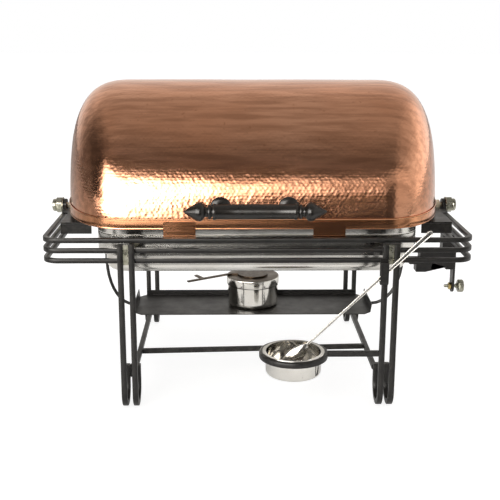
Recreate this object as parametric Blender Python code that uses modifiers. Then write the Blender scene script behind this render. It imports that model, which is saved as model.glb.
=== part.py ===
"""Roll-top chafing dish: a domed lid that rolls back over a bath pan on a wrought-iron stand.

Metres, +Z up. The origin is on the floor under the middle of the overall box, and the front
faces -Y. The lid turns about an X axis that runs through the two side pivots. Sizes and places
below are measured from the middle of the stand, and place() moves them to the origin.
"""
import math

import bmesh
import bpy
from mathutils import Matrix, Vector

# ---------------------------------------------------------------- driving dimensions
GAP = 0.0003                    # space kept between pieces that touch

RAIL_HALF_X = 0.347             # outer face of the rail loops
RAIL_HALF_Y = 0.235
RAIL_BAR = 0.0075               # square bar of the rails
RAIL_TOP_Z = 0.292
RAIL_PITCH = 0.0166             # from one rail to the next
RAIL_CORNER = 0.027
RAIL_COUNT = 3

LEG_BAR = 0.009                 # square bar of the legs, feet and cup holder
LEG_OUTER_X = 0.2205
LEG_INNER_X = 0.2025
FOOT_RADIUS = 0.026             # centre line of the J-shaped foot
FOOT_TIP_Z = 0.062              # where the foot's return end stops

PIVOT_Z = 0.2985                # axis that the lid rolls on
LID_RIM_Z = 0.305
LID_X = -0.005                  # the lid hangs a little to the left between its uprights
LID_HALF_LENGTH = 0.3253
LID_NOSE = 0.119                # length of each rounded end
LID_HALF_DEPTH = 0.2215
LID_HEIGHT = 0.220
LID_THICKNESS = 0.0012
LID_PLAN_POWER = 2.1            # roundness of the ends seen from above
LID_SIDE_POWER = 3.1            # roundness of the ends seen from the front
RIM_BAND_HEIGHT = 0.0175
UPRIGHT_X = 0.3463              # middle of the uprights that carry the lid
UPRIGHT_THICKNESS = 0.006
EAR_INSET = 0.0055              # from the lid's tip to the middle of its ear
EAR_THICKNESS = 0.002
BOLT_HOLE_RADIUS = 0.0044

BODY_HALF_X = 0.2585            # deep part of the water pan
BODY_HALF_Y = 0.1555
PAN_RIM_HALF_X = 0.2685         # upturned rim of the water pan
PAN_RIM_HALF_Y = 0.190
PAN_RIM_CORNER = 0.050
PAN_FLOOR_Z = 0.213
PAN_LEDGE_Z = 0.2865
PAN_RIM_Z = 0.2995
PAN_SHEET = 0.001
INSERT_HALF_X = 0.265           # flange of the full-size food pan, 530 x 325 mm
INSERT_HALF_Y = 0.1625
INSERT_DEPTH = 0.045

TRAY_X = -0.004                 # the tray hangs a little to the left
TRAY_HALF_X = 0.2160
TRAY_HALF_Y = 0.061
TRAY_Z = 0.107
TRAY_SHEET = 0.0015
TRAY_END_HEIGHT = 0.0155
TRAY_BACK_HEIGHT = 0.010

BURNER_X = -0.0035
BURNER_Y = 0.005
BURNER_RADIUS = 0.047
BURNER_CAP_RADIUS = 0.049
BURNER_CAP_Z = 0.1475
BURNER_TOP_Z = 0.1640
DAMPER_PIVOT_X = BURNER_X - 0.040

CUP_X = 0.0573
CUP_RIM_Z = 0.1035
CUP_RADIUS = 0.0455
CUP_RIM_RADIUS = 0.051
CUP_DEPTH = 0.0375
CUP_RING_RADIUS = 0.0518        # centre line of the ring that holds the cup

HANDLE_X = -0.0068
HANDLE_Y = -0.2475
HANDLE_Z = 0.338
GRIP_RADIUS = 0.0120
HANDLE_POST_X = 0.0542          # each side of the handle's middle
HANDLE_POST_Z = 0.3397
HANDLE_ROSE_RADIUS = 0.0172     # discs that the posts end in

SCREW_X = 0.3492                # tip of the thumbscrew
SCREW_Y = -0.033
SCREW_Z = 0.152
KNOB_OUTER_X = 0.3846
STRAP_X = 0.3617                # inner face of the strap that holds the thumbscrew
STRAP_THICKNESS = 0.004

BOLT_OVERHANG = 0.0205          # bolt beyond the upright

LEG_Y = RAIL_HALF_Y + GAP + LEG_BAR / 2
RAIL_BOTTOM_Z = RAIL_TOP_Z - (RAIL_COUNT - 1) * RAIL_PITCH - RAIL_BAR
FOOT_CENTRE_Z = FOOT_RADIUS + LEG_BAR / 2
FOOT_TIP_Y = LEG_Y - 2 * FOOT_RADIUS
UPRIGHT_OUTER_X = UPRIGHT_X + UPRIGHT_THICKNESS / 2
BOLT_OUTER_X = UPRIGHT_OUTER_X + GAP + BOLT_OVERHANG
LEG_FACE_Y = LEG_Y + LEG_BAR / 2
CUP_FRONT_Y = LEG_Y + CUP_RING_RADIUS + LEG_BAR / 2
STAND_CENTRE = Matrix.Translation(
    ((BOLT_OUTER_X - KNOB_OUTER_X) / 2, (CUP_FRONT_Y - LEG_FACE_Y) / 2, 0))

FINISHES = {                    # base colour, roughness, metallic
    "iron": ((0.035, 0.033, 0.032), 0.5, 0.8),
    "copper": ((0.72, 0.36, 0.22), 0.3, 1.0),
    "steel": ((0.75, 0.74, 0.72), 0.18, 1.0),
    "zinc": ((0.55, 0.54, 0.50), 0.35, 1.0),
    "brass": ((0.70, 0.55, 0.25), 0.3, 1.0),
    "nylon": ((0.62, 0.55, 0.43), 0.6, 0.0),
    "black": ((0.02, 0.018, 0.017), 0.35, 0.0),
    "fuel": ((0.35, 0.35, 0.36), 0.45, 0.9),
}

# Rotations that lay a flat outline's own X, Y and thickness along two world axes and a third.
FLAT = Matrix.Identity(4)
SIDEWAYS = Matrix(((0, 0, 1, 0), (1, 0, 0, 0), (0, 1, 0, 0), (0, 0, 0, 1)))
UPRIGHT = Matrix(((1, 0, 0, 0), (0, 0, -1, 0), (0, 1, 0, 0), (0, 0, 0, 1)))
# Rotation that lays a turned piece's own Z along world +X or +Y.
Z_TO_X = Matrix.Rotation(math.pi / 2, 4, "Y")
Z_TO_Y = Matrix.Rotation(-math.pi / 2, 4, "X")


# ---------------------------------------------------------------- scene helpers
def clear_scene():
    for old in list(bpy.data.objects):
        bpy.data.objects.remove(old, do_unlink=True)


def new_collection(name):
    collection = bpy.data.collections.new(name)
    bpy.context.scene.collection.children.link(collection)
    return collection


def axis_empty(name, location, parent=None):
    """An empty on a joint's axis; the pieces that move on it are its children."""
    empty = bpy.data.objects.new(name, None)
    empty.empty_display_size = 0.02
    PARTS.objects.link(empty)
    empty.matrix_world = STAND_CENTRE @ Matrix.Translation(location)
    attach(empty, parent)
    return empty


def attach(child, parent):
    if parent is None:
        return
    bpy.context.view_layer.update()
    child.parent = parent
    child.matrix_parent_inverse = parent.matrix_world.inverted()


def finish_material(name, finish):
    colour, roughness, metallic = FINISHES[finish]
    material = bpy.data.materials.new(name + "_" + finish)
    material.use_nodes = True
    shader = material.node_tree.nodes["Principled BSDF"]
    shader.inputs["Base Color"].default_value = (*colour, 1.0)
    shader.inputs["Roughness"].default_value = roughness
    shader.inputs["Metallic"].default_value = metallic
    return material


def place(name, data, finish, matrix=FLAT, parent=None):
    piece = bpy.data.objects.new(name, data)
    data.materials.append(finish_material(name, finish))
    PARTS.objects.link(piece)
    piece.matrix_world = STAND_CENTRE @ matrix
    attach(piece, parent)
    return piece


# ---------------------------------------------------------------- shape helpers
def box(name, low, high, finish, parent=None):
    mesh = bpy.data.meshes.new(name)
    shape = bmesh.new()
    bmesh.ops.create_cube(shape, size=1.0)
    size = Vector(high) - Vector(low)
    centre = (Vector(high) + Vector(low)) / 2
    bmesh.ops.scale(shape, vec=size, verts=shape.verts)
    shape.to_mesh(mesh)
    shape.free()
    return place(name, mesh, finish, Matrix.Translation(centre), parent)


def plate(name, outlines, thickness, finish, turn, centre, parent=None):
    """A flat piece: closed outlines in its own plane, the first the edge and the rest holes."""
    curve = bpy.data.curves.new(name, "CURVE")
    curve.dimensions = "2D"
    curve.fill_mode = "BOTH"
    curve.extrude = thickness / 2
    for outline in outlines:
        spline = curve.splines.new("POLY")
        spline.points.add(len(outline) - 1)
        for point, (x, y) in zip(spline.points, outline):
            point.co = (x, y, 0, 1)
        spline.use_cyclic_u = True
    return place(name, curve, finish, Matrix.Translation(centre) @ turn, parent)


def arc(centre, radius, start, end, segments):
    """Points on an arc in the plane, from start to end in degrees."""
    points = []
    for step in range(segments + 1):
        angle = math.radians(start + (end - start) * step / segments)
        points.append((centre[0] + radius * math.cos(angle), centre[1] + radius * math.sin(angle)))
    return points


def rounded_rectangle(half_x, half_y, radius, segments=5):
    points = []
    for quarter, (sx, sy) in enumerate(((1, 1), (-1, 1), (-1, -1), (1, -1))):
        centre = (sx * (half_x - radius), sy * (half_y - radius))
        points += arc(centre, radius, quarter * 90, quarter * 90 + 90, segments)
    return points


def circle(centre, radius, segments=24):
    return arc(centre, radius, 0, 360, segments)[:-1]


def rod(name, points, radius, finish, parent=None):
    """A round rod through the points, with closed ends."""
    curve = bpy.data.curves.new(name, "CURVE")
    curve.dimensions = "3D"
    curve.bevel_depth = radius
    curve.bevel_resolution = 2
    curve.use_fill_caps = True
    spline = curve.splines.new("POLY")
    spline.points.add(len(points) - 1)
    for point, place_at in zip(spline.points, points):
        point.co = (*place_at, 1)
    return place(name, curve, finish, FLAT, parent)


def turned(name, profile, finish, turn, centre, closed=False, steps=28, parent=None):
    """A piece turned about its own Z, from (radius, height) points that run down its outside."""
    mesh = bpy.data.meshes.new(name)
    shape = bmesh.new()
    points = [shape.verts.new((radius, 0, height)) for radius, height in profile]
    for first, second in zip(points, points[1:]):
        shape.edges.new((first, second))
    if closed:
        shape.edges.new((points[-1], points[0]))
    shape.to_mesh(mesh)
    shape.free()
    piece = place(name, mesh, finish, Matrix.Translation(centre) @ turn, parent)
    screw = piece.modifiers.new("Turn", "SCREW")
    screw.steps = steps
    screw.render_steps = steps
    screw.use_merge_vertices = True
    screw.merge_threshold = 0.00005
    screw.use_smooth_shade = True
    return piece


def sheet(name, rows, thickness, finish, closed=False, floor=False, offset=-1, parent=None):
    """Sheet metal over rows of points. A row of one point closes an end to a tip."""
    mesh = bpy.data.meshes.new(name)
    shape = bmesh.new()
    grid = [[shape.verts.new(point) for point in row] for row in rows]
    for lower, upper in zip(grid, grid[1:]):
        count = max(len(lower), len(upper))
        for step in range(count if closed else count - 1):
            corners = []
            for row, index in ((lower, step), (lower, step + 1), (upper, step + 1), (upper, step)):
                corner = row[index % len(row)]
                if corner not in corners:
                    corners.append(corner)
            shape.faces.new(corners)
    if floor:
        shape.faces.new(list(reversed(grid[0])))
    shape.to_mesh(mesh)
    shape.free()
    piece = place(name, mesh, finish, FLAT, parent)
    solidify = piece.modifiers.new("Thickness", "SOLIDIFY")
    solidify.thickness = thickness
    solidify.offset = offset
    mesh.shade_smooth()
    mesh.set_sharp_from_angle(angle=math.radians(40))
    return piece


def drill(piece, name, matrix, radius, length):
    """Cuts a round hole through a piece."""
    mesh = bpy.data.meshes.new(name)
    shape = bmesh.new()
    bmesh.ops.create_cone(shape, cap_ends=True, segments=20, radius1=radius, radius2=radius, depth=length)
    shape.to_mesh(mesh)
    shape.free()
    cutter = bpy.data.objects.new(name, mesh)
    CUTTERS.objects.link(cutter)
    cutter.matrix_world = STAND_CENTRE @ matrix
    cutter.display_type = "WIRE"
    cutter.hide_render = True
    cut = piece.modifiers.new(name, "BOOLEAN")
    cut.operation = "DIFFERENCE"
    cut.object = cutter


# ---------------------------------------------------------------- the stand
def make_rails():
    inner_x = RAIL_HALF_X - RAIL_BAR
    inner_y = RAIL_HALF_Y - RAIL_BAR
    outer = rounded_rectangle(RAIL_HALF_X, RAIL_HALF_Y, RAIL_CORNER)
    inner = rounded_rectangle(inner_x, inner_y, RAIL_CORNER - RAIL_BAR)
    for index, name in enumerate(("top_rail", "middle_rail", "lower_rail")):
        centre_z = RAIL_TOP_Z - RAIL_BAR / 2 - index * RAIL_PITCH
        plate(name, [outer, inner], RAIL_BAR, "iron", FLAT, (0, 0, centre_z))


def make_legs():
    """Eight square bars, each bent at its foot into a J that curls in under the dish."""
    top_z = RAIL_TOP_Z - RAIL_BAR - GAP
    half = LEG_BAR / 2
    for end, sign in (("front", -1), ("rear", 1)):
        centre = (sign * (LEG_Y - FOOT_RADIUS), FOOT_CENTRE_Z)
        start, stop = (0, -180) if sign > 0 else (180, 360)
        outside = arc(centre, FOOT_RADIUS + half, start, stop, 9)
        inside = arc(centre, FOOT_RADIUS - half, stop, start, 9)
        outline = [(sign * (LEG_Y + half), top_z)] + outside
        outline += [(sign * (FOOT_TIP_Y - half), FOOT_TIP_Z), (sign * (FOOT_TIP_Y + half), FOOT_TIP_Z)]
        outline += inside + [(sign * (LEG_Y - half), top_z)]
        drop = (FOOT_RADIUS + half) * (1 - math.cos(math.radians(10)))
        for side, side_sign in (("left", -1), ("right", 1)):
            for row, x in (("outer", LEG_OUTER_X), ("inner", LEG_INNER_X)):
                name = "leg_" + end + "_" + side + "_" + row
                plate(name, [outline], LEG_BAR, "iron", SIDEWAYS, (side_sign * x, 0, -drop))


def make_leg_ties():
    """Flat ties welded between the two bars of each leg, at the feet and under the front rail."""
    low_x = LEG_INNER_X + LEG_BAR / 2 + GAP
    high_x = LEG_OUTER_X - LEG_BAR / 2 - GAP
    foot_y = FOOT_TIP_Y - LEG_BAR / 2
    foot_thickness = 0.004
    foot_low_z = 0.038
    foot_high_z = FOOT_TIP_Z - 0.001
    half = 0.0015
    low_z = RAIL_BOTTOM_Z - 0.001
    high_z = RAIL_TOP_Z - RAIL_BAR - 0.002
    for side, sign in (("left", -1), ("right", 1)):
        inner, outer = sorted((sign * low_x, sign * high_x))
        for end, end_sign in (("front", -1), ("rear", 1)):
            near, far = sorted((end_sign * foot_y, end_sign * (foot_y + foot_thickness)))
            name = "foot_tie_" + end + "_" + side
            box(name, (inner, near, foot_low_z), (outer, far, foot_high_z), "iron")
        box("leg_tie_" + side, (inner, -LEG_Y - half, low_z), (outer, -LEG_Y + half, high_z), "zinc")


def make_stretchers():
    """Bars that tie the feet together: one each side, and one set slightly askew between them."""
    half = 0.004
    z = 0.052
    left_x = -0.2075
    right_x = 0.2005
    reach_y = FOOT_TIP_Y - LEG_BAR / 2 - GAP
    for side, x in (("left", left_x), ("right", right_x)):
        box("side_stretcher_" + side, (x - half, -reach_y, z - half), (x + half, reach_y, z + half), "iron")
    start_x = left_x + half + GAP
    stop_x = right_x - half - GAP
    start_y = -0.100
    stop_y = -0.080
    outline = [(start_x, start_y - half), (stop_x, stop_y - half),
               (stop_x, stop_y + half), (start_x, start_y + half)]
    plate("cross_stretcher", [outline], 2 * half, "iron", FLAT, (0, 0, z))


def make_pivot_plates():
    """Side plates on the rails, and the uprights beside them that carry the lid's pivot bolts."""
    base_z = RAIL_TOP_Z + GAP
    thickness = 0.003
    front_y = -0.131
    inner_x = 0.281
    outer_x = 0.333
    rail_x = 0.3465
    half_foot = 0.022
    back_y = -half_foot - GAP
    outline = [(inner_x, front_y), (outer_x, front_y), (outer_x, -0.055), (rail_x, -0.040),
               (rail_x, back_y), (inner_x, back_y)]
    apron_z = base_z - 0.0170
    crown = arc((0, PIVOT_Z), 0.0115, 10, 170, 12)
    edge = [(-half_foot, base_z), (half_foot, base_z)] + crown
    hole = circle((0, PIVOT_Z), BOLT_HOLE_RADIUS)
    for side, sign in (("left", -1), ("right", 1)):
        mirrored = [(sign * px, py) for px, py in outline]
        plate("pivot_plate_" + side, [mirrored], thickness, "iron", FLAT, (0, 0, base_z + thickness / 2))
        low_x, high_x = sorted((sign * inner_x, sign * outer_x))
        apron_high = (high_x, front_y + thickness, base_z - GAP)
        box("plate_apron_" + side, (low_x, front_y, apron_z), apron_high, "iron")
        plate("pivot_upright_" + side, [edge, hole], UPRIGHT_THICKNESS, "iron", SIDEWAYS,
              (sign * UPRIGHT_X, 0, 0))


def make_pan_ring():
    """The steel skirt that the water pan hangs in, and the hangers that join it to the side plates."""
    top_z = PAN_LEDGE_Z - GAP
    bottom_z = RAIL_BOTTOM_Z + 0.0005
    thickness = 0.003
    outer = rounded_rectangle(PAN_RIM_HALF_X, PAN_RIM_HALF_Y, PAN_RIM_CORNER)
    corner = PAN_RIM_CORNER - thickness
    inner = rounded_rectangle(PAN_RIM_HALF_X - thickness, PAN_RIM_HALF_Y - thickness, corner)
    plate("pan_ring", [outer, inner], top_z - bottom_z, "steel", FLAT, (0, 0, (top_z + bottom_z) / 2))
    low_x = PAN_RIM_HALF_X + 0.0005
    high_x = 0.330
    low_z = bottom_z + 0.004
    ledge = RAIL_TOP_Z - 0.0032
    length = 0.070
    middle_y = -0.065
    outline = [(low_x, low_z), (low_x + thickness, low_z), (low_x + thickness, ledge),
               (high_x, ledge), (high_x, RAIL_TOP_Z), (low_x, RAIL_TOP_Z)]
    for side, sign in (("left", -1), ("right", 1)):
        mirrored = [(sign * px, pz) for px, pz in outline]
        plate("ring_hanger_" + side, [mirrored], length, "iron", UPRIGHT, (0, middle_y, 0))


def make_tray():
    """The shelf for the burner: an upturned back and ends, with the corners left open."""
    notch = 0.012
    flare = 0.002                   # the ends lean outward by this much
    xs = (-TRAY_HALF_X, notch - TRAY_HALF_X, TRAY_HALF_X - notch, TRAY_HALF_X)
    ys = (-TRAY_HALF_Y, notch - TRAY_HALF_Y, TRAY_HALF_Y - notch, TRAY_HALF_Y)
    mesh = bpy.data.meshes.new("fuel_tray")
    shape = bmesh.new()
    floor = {}
    for i, x in enumerate(xs):
        for j, y in enumerate(ys):
            if i in (1, 2) or j in (1, 2):
                floor[i, j] = shape.verts.new((x, y, TRAY_Z))
    for i in range(3):
        for j in range(3):
            corners = [(i, j), (i + 1, j), (i + 1, j + 1), (i, j + 1)]
            shape.faces.new([floor[key] for key in corners if key in floor])
    back = [shape.verts.new((x, ys[3], TRAY_Z + TRAY_BACK_HEIGHT)) for x in xs[1:3]]
    shape.faces.new([floor[1, 3], floor[2, 3], back[1], back[0]])
    for i, sign in ((0, -1), (3, 1)):
        end = [shape.verts.new((xs[i] + sign * flare, y, TRAY_Z + TRAY_END_HEIGHT)) for y in ys[1:3]]
        shape.faces.new([floor[i, 1], floor[i, 2], end[1], end[0]])
    bmesh.ops.recalc_face_normals(shape, faces=shape.faces)
    shape.to_mesh(mesh)
    shape.free()
    tray = place("fuel_tray", mesh, "iron", Matrix.Translation((TRAY_X, 0, 0)))
    solidify = tray.modifiers.new("Thickness", "SOLIDIFY")
    solidify.thickness = TRAY_SHEET
    solidify.offset = 0


def make_tray_arms():
    """Rods that drop from the pan ring and curl in under the ends of the tray."""
    radius = 0.003
    x = PAN_RIM_HALF_X + 0.0005 + radius
    y = -0.020
    top_z = PAN_LEDGE_Z - 0.002
    bend_z = 0.200
    end_z = TRAY_Z + 0.008
    bend = 9
    for side, sign in (("left", -1), ("right", 1)):
        end_x = TRAY_HALF_X + sign * TRAY_X + 0.0035 + radius
        points = [(sign * x, y, top_z), (sign * x, y, bend_z)]
        for step in range(1, bend + 1):
            angle = math.radians(90 * step / bend)
            across = end_x + (x - end_x) * math.cos(angle)
            down = bend_z - (bend_z - end_z) * math.sin(angle)
            points.append((sign * across, y, down))
        points.append((sign * (end_x - radius), y, end_z))
        rod("tray_arm_" + side, points, radius, "iron")


# ---------------------------------------------------------------- lid
def lid_section(share):
    """Half depth and height of the lid where an end has run this share of its rounded length."""
    depth = LID_HALF_DEPTH * max(0.0, 1 - share ** LID_PLAN_POWER) ** (1 / LID_PLAN_POWER)
    height = LID_HEIGHT * max(0.0, 1 - share ** LID_SIDE_POWER) ** (1 / LID_SIDE_POWER)
    return depth, height


def lid_stations(count=11):
    """Places along the lid from one tip to the other, as (x, share of the rounded end)."""
    straight = LID_HALF_LENGTH - LID_NOSE
    half = []
    for step in range(count):
        share = math.sin(math.pi / 2 * step / (count - 1))
        half.append((straight + LID_NOSE * share, share))
    left = [(-x, share) for x, share in reversed(half)]
    return left + half


def make_lid(axis):
    turns = 24
    rows = []
    for x, share in reversed(lid_stations()):
        depth, height = lid_section(share)
        if share > 0.9999:
            rows.append([(LID_X + x, 0, LID_RIM_Z)])
            continue
        row = []
        for step in range(turns + 1):
            angle = math.pi * step / turns
            row.append((LID_X + x, -depth * math.cos(angle), LID_RIM_Z + height * math.sin(angle)))
        rows.append(row)
    shell = sheet("lid_shell", rows, LID_THICKNESS, "copper", parent=axis)
    for side, sign in (("left", -1), ("right", 1)):
        centre = (HANDLE_X + sign * HANDLE_POST_X, lid_face_y(HANDLE_POST_Z), HANDLE_POST_Z)
        drill(shell, "handle_hole_" + side, Matrix.Translation(centre) @ Z_TO_Y, 0.0032, 0.03)


def make_rim_band(axis):
    """A plain band round the lid's lower edge, just outside the dented sheet."""
    space = 0.0006
    stretch = 1 + space / LID_HALF_LENGTH
    rows = []
    for height in (-0.001, RIM_BAND_HEIGHT / 2, RIM_BAND_HEIGHT - 0.001):
        front = []
        for x, share in lid_stations():
            depth, top = lid_section(share)
            reach = max(0.0, 1 - (height / max(top, 0.001)) ** 2)
            out = depth * math.sqrt(reach) + space * (depth > 0)
            front.append((LID_X + x * stretch, -out, LID_RIM_Z + height))
        back = [(x, -y, z) for x, y, z in reversed(front[1:-1])]
        rows.append(front + back)
    sheet("lid_rim_band", rows, LID_THICKNESS, "copper", closed=True, offset=1, parent=axis)


def make_lid_ears(axis):
    """Steel lugs brazed inside the lid's ends, which turn on the pivot bolts."""
    hole = circle((0, PIVOT_Z), BOLT_HOLE_RADIUS)
    half = 0.014
    top_z = LID_RIM_Z + 0.025
    edge = arc((0, PIVOT_Z), half, 180, 360, 12) + [(half, top_z), (-half, top_z)]
    for side, sign in (("left", -1), ("right", 1)):
        x = LID_X + sign * (LID_HALF_LENGTH - EAR_INSET)
        plate("lid_ear_" + side, [edge, hole], EAR_THICKNESS, "steel", SIDEWAYS, (x, 0, 0), axis)


def make_handle(axis):
    """A turned grip with an acorn at each end, on two posts riveted through the lid."""
    half = [(0.0, 0.1127), (0.0022, 0.1110), (0.0060, 0.1050), (0.0104, 0.0975), (0.0138, 0.0915),
            (0.0150, 0.0870), (0.0143, 0.0832), (0.0112, 0.0800), (0.0085, 0.0778), (0.0082, 0.0765),
            (0.0082, 0.0745), (0.0115, 0.0725), (0.0118, 0.0700), (0.0085, 0.0680), (0.0085, 0.0665),
            (0.0128, 0.0655), (0.0128, 0.0620), (GRIP_RADIUS, 0.0605)]
    profile = half + [(radius, -height) for radius, height in reversed(half)]
    turned("handle_grip", profile, "black", Z_TO_X, (HANDLE_X, HANDLE_Y, HANDLE_Z), steps=20, parent=axis)
    grip_y = HANDLE_Y + GRIP_RADIUS + GAP
    lid_y = lid_face_y(HANDLE_POST_Z)
    rose = lid_y - GAP - 0.0022 - grip_y
    inside = lid_y + LID_THICKNESS + 0.0024 - grip_y
    stud = [(0.0, 0.0), (0.006, 0.0), (0.006, rose - 0.008), (HANDLE_ROSE_RADIUS - 0.003, rose - 0.004),
            (HANDLE_ROSE_RADIUS, rose - 0.002), (HANDLE_ROSE_RADIUS, rose), (0.0028, rose), (0.0028, inside),
            (0.0055, inside), (0.0045, inside + 0.002), (0.0, inside + 0.002)]
    stud.reverse()
    for side, sign in (("left", -1), ("right", 1)):
        centre = (HANDLE_X + sign * HANDLE_POST_X, grip_y, HANDLE_POST_Z)
        turned("handle_post_" + side, stud, "black", Z_TO_Y, centre, steps=20, parent=axis)


def lid_face_y(z):
    """The lid's front face in its straight middle, at this height."""
    reach = (z - LID_RIM_Z) / LID_HEIGHT
    return -LID_HALF_DEPTH * math.sqrt(1 - reach * reach)


def make_pivots():
    """A bolt, a nylon spacer and a lock nut on each side, all measured outward from the middle."""
    centre = (0, 0, PIVOT_Z)
    hole = BOLT_HOLE_RADIUS
    shank = 0.004
    head = 0.0085
    collar = 0.0092
    neck = 0.0050                   # the spacer narrows where it passes over the rail
    rail_inner = RAIL_HALF_X - RAIL_BAR - GAP
    plate_inner = UPRIGHT_X - UPRIGHT_THICKNESS / 2 - GAP
    plate_outer = UPRIGHT_OUTER_X + GAP
    washer = plate_outer + 0.002
    flats = plate_outer + 0.0128
    crown = plate_outer + 0.0195
    nut = [(hole, crown), (0.0105, crown), (0.0112, flats), (0.0137, flats - 0.0003),
           (0.0137, washer + 0.0002), (0.0145, washer), (0.0145, plate_outer), (hole, plate_outer)]
    for side, sign, turn in (("left", -1, Matrix.Rotation(-math.pi / 2, 4, "Y")), ("right", 1, Z_TO_X)):
        tip = LID_HALF_LENGTH + sign * LID_X
        head_outer = tip - EAR_INSET - EAR_THICKNESS / 2 - 0.0005
        head_inner = head_outer - 0.005
        bolt = [(0.0, BOLT_OUTER_X), (shank, BOLT_OUTER_X - 0.0005), (shank, head_outer),
                (head, head_outer), (head, head_inner), (0.0, head_inner)]
        spacer_inner = tip + 0.0024
        spacer = [(hole, plate_inner), (neck, plate_inner), (neck, rail_inner), (collar, rail_inner),
                  (collar, spacer_inner), (hole, spacer_inner)]
        turned("pivot_bolt_" + side, bolt, "zinc", turn, centre, steps=24)
        turned("pivot_spacer_" + side, spacer, "nylon", turn, centre, closed=True, steps=24)
        turned("pivot_nut_" + side, nut, "zinc", turn, centre, closed=True, steps=18)


# ---------------------------------------------------------------- pans
def pan_rings(floor, fillet, steps, body_x, body_y, corner, stages):
    """Rounded-rectangle rings up the outside of a pan: a rounded bottom edge, then each stage."""
    rings = []
    for step in range(steps + 1):
        angle = math.pi / 2 * step / steps
        inset = fillet * (1 - math.sin(angle))
        z = floor + fillet * (1 - math.cos(angle))
        rings.append((body_x - inset, body_y - inset, corner - inset, z))
    rings += stages
    rows = []
    for half_x, half_y, radius, z in rings:
        rows.append([(x, y, z) for x, y in rounded_rectangle(half_x, half_y, radius)])
    return rows


def make_water_pan(axis):
    corner = 0.040
    stages = [(BODY_HALF_X, BODY_HALF_Y, corner, PAN_LEDGE_Z),
              (PAN_RIM_HALF_X, PAN_RIM_HALF_Y, PAN_RIM_CORNER, PAN_LEDGE_Z),
              (PAN_RIM_HALF_X, PAN_RIM_HALF_Y, PAN_RIM_CORNER, PAN_RIM_Z)]
    rows = pan_rings(PAN_FLOOR_Z, 0.014, 4, BODY_HALF_X, BODY_HALF_Y, corner, stages)
    sheet("water_pan", rows, PAN_SHEET, "steel", closed=True, floor=True, parent=axis)


def make_food_pan(axis):
    """The full-size pan: walls that lean out to a flat flange."""
    flange_z = PAN_LEDGE_Z + PAN_SHEET + GAP
    floor_z = flange_z + PAN_SHEET - INSERT_DEPTH
    draft = 0.004
    mouth_x = INSERT_HALF_X - 0.0125
    mouth_y = INSERT_HALF_Y - 0.0125
    corner = 0.034
    stages = [(mouth_x, mouth_y, corner, flange_z), (INSERT_HALF_X, INSERT_HALF_Y, 0.045, flange_z)]
    rows = pan_rings(floor_z, 0.012, 4, mouth_x - draft, mouth_y - draft, corner - 0.003, stages)
    sheet("food_pan", rows, PAN_SHEET, "steel", closed=True, floor=True, parent=axis)


# ---------------------------------------------------------------- burner
def make_burner(axis, damper_axis):
    """A steel holder on the tray, its lid with an opening, and the fuel can inside."""
    centre = (BURNER_X, BURNER_Y, 0)
    floor = TRAY_Z + TRAY_SHEET / 2 + GAP
    wall = 0.001
    fillet = 0.003
    inner = BURNER_RADIUS - wall
    top = BURNER_CAP_Z - GAP
    bend = fillet - wall / 2
    holder = [(0.0, floor + wall), (inner - bend, floor + wall), (inner, floor + wall + bend),
              (inner, top), (BURNER_RADIUS, top), (BURNER_RADIUS, floor + fillet),
              (BURNER_RADIUS - fillet, floor), (0.0, floor)]
    turned("burner_holder", holder, "steel", FLAT, centre, steps=32, parent=axis)
    opening = 0.024
    lip = BURNER_CAP_RADIUS - 0.006
    skirt = BURNER_CAP_RADIUS - 0.0015
    cap = [(opening, BURNER_TOP_Z), (BURNER_CAP_RADIUS - 0.002, BURNER_TOP_Z),
           (BURNER_CAP_RADIUS, BURNER_TOP_Z - 0.002), (BURNER_CAP_RADIUS, BURNER_CAP_Z), (lip, BURNER_CAP_Z),
           (lip, BURNER_CAP_Z + 0.002), (skirt, BURNER_CAP_Z + 0.002), (skirt, BURNER_TOP_Z - 0.003),
           (opening, BURNER_TOP_Z - 0.0012)]
    turned("burner_cap", cap, "steel", FLAT, centre, closed=True, steps=32, parent=axis)
    can_top = BURNER_CAP_Z + 0.006
    well = 0.016
    can_radius = 0.0405
    can = [(0.0, can_top - 0.006), (well, can_top - 0.006), (well, can_top), (can_radius - 0.001, can_top),
           (can_radius, can_top - 0.001), (can_radius, floor + wall + GAP), (0.0, floor + wall + GAP)]
    turned("fuel_can", can, "fuel", FLAT, centre, steps=28, parent=axis)
    make_damper(damper_axis)


def make_damper(axis):
    """A flat cover that swings off the flame, with a lever bent forward at the pivot and its short branch."""
    thickness = 0.0026
    radius = 0.028
    half = 0.0030
    length = 0.095                  # of the lever, from the pivot to its free end
    bend = math.radians(33)         # how far the lever turns forward at the pivot
    branch_at = 0.062               # along the lever
    branch_length = 0.024
    z = BURNER_TOP_Z + GAP + thickness / 2
    start = math.degrees(math.asin((half + 0.0005) / radius))
    disc = arc((BURNER_X, BURNER_Y), radius, 180 + start, 540 - start, 30)
    pivot = Vector((DAMPER_PIVOT_X, BURNER_Y))
    along = Vector((-math.cos(bend), -math.sin(bend)))
    back = Vector((-math.sin(bend), math.cos(bend)))
    corner = Vector((-math.sin(bend / 2), math.cos(bend / 2))) * (half / math.cos(bend / 2))

    def spot(distance, side):
        return tuple(pivot + along * distance + back * side)
    lever = [tuple(pivot + corner), spot(branch_at - half, half), spot(branch_at - half, half + branch_length),
             spot(branch_at + half, half + branch_length), spot(branch_at + half, half),
             spot(length, half), spot(length, -half), tuple(pivot - corner)]
    plate("damper", [lever + disc], thickness, "steel", FLAT, (0, 0, z), axis)


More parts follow.
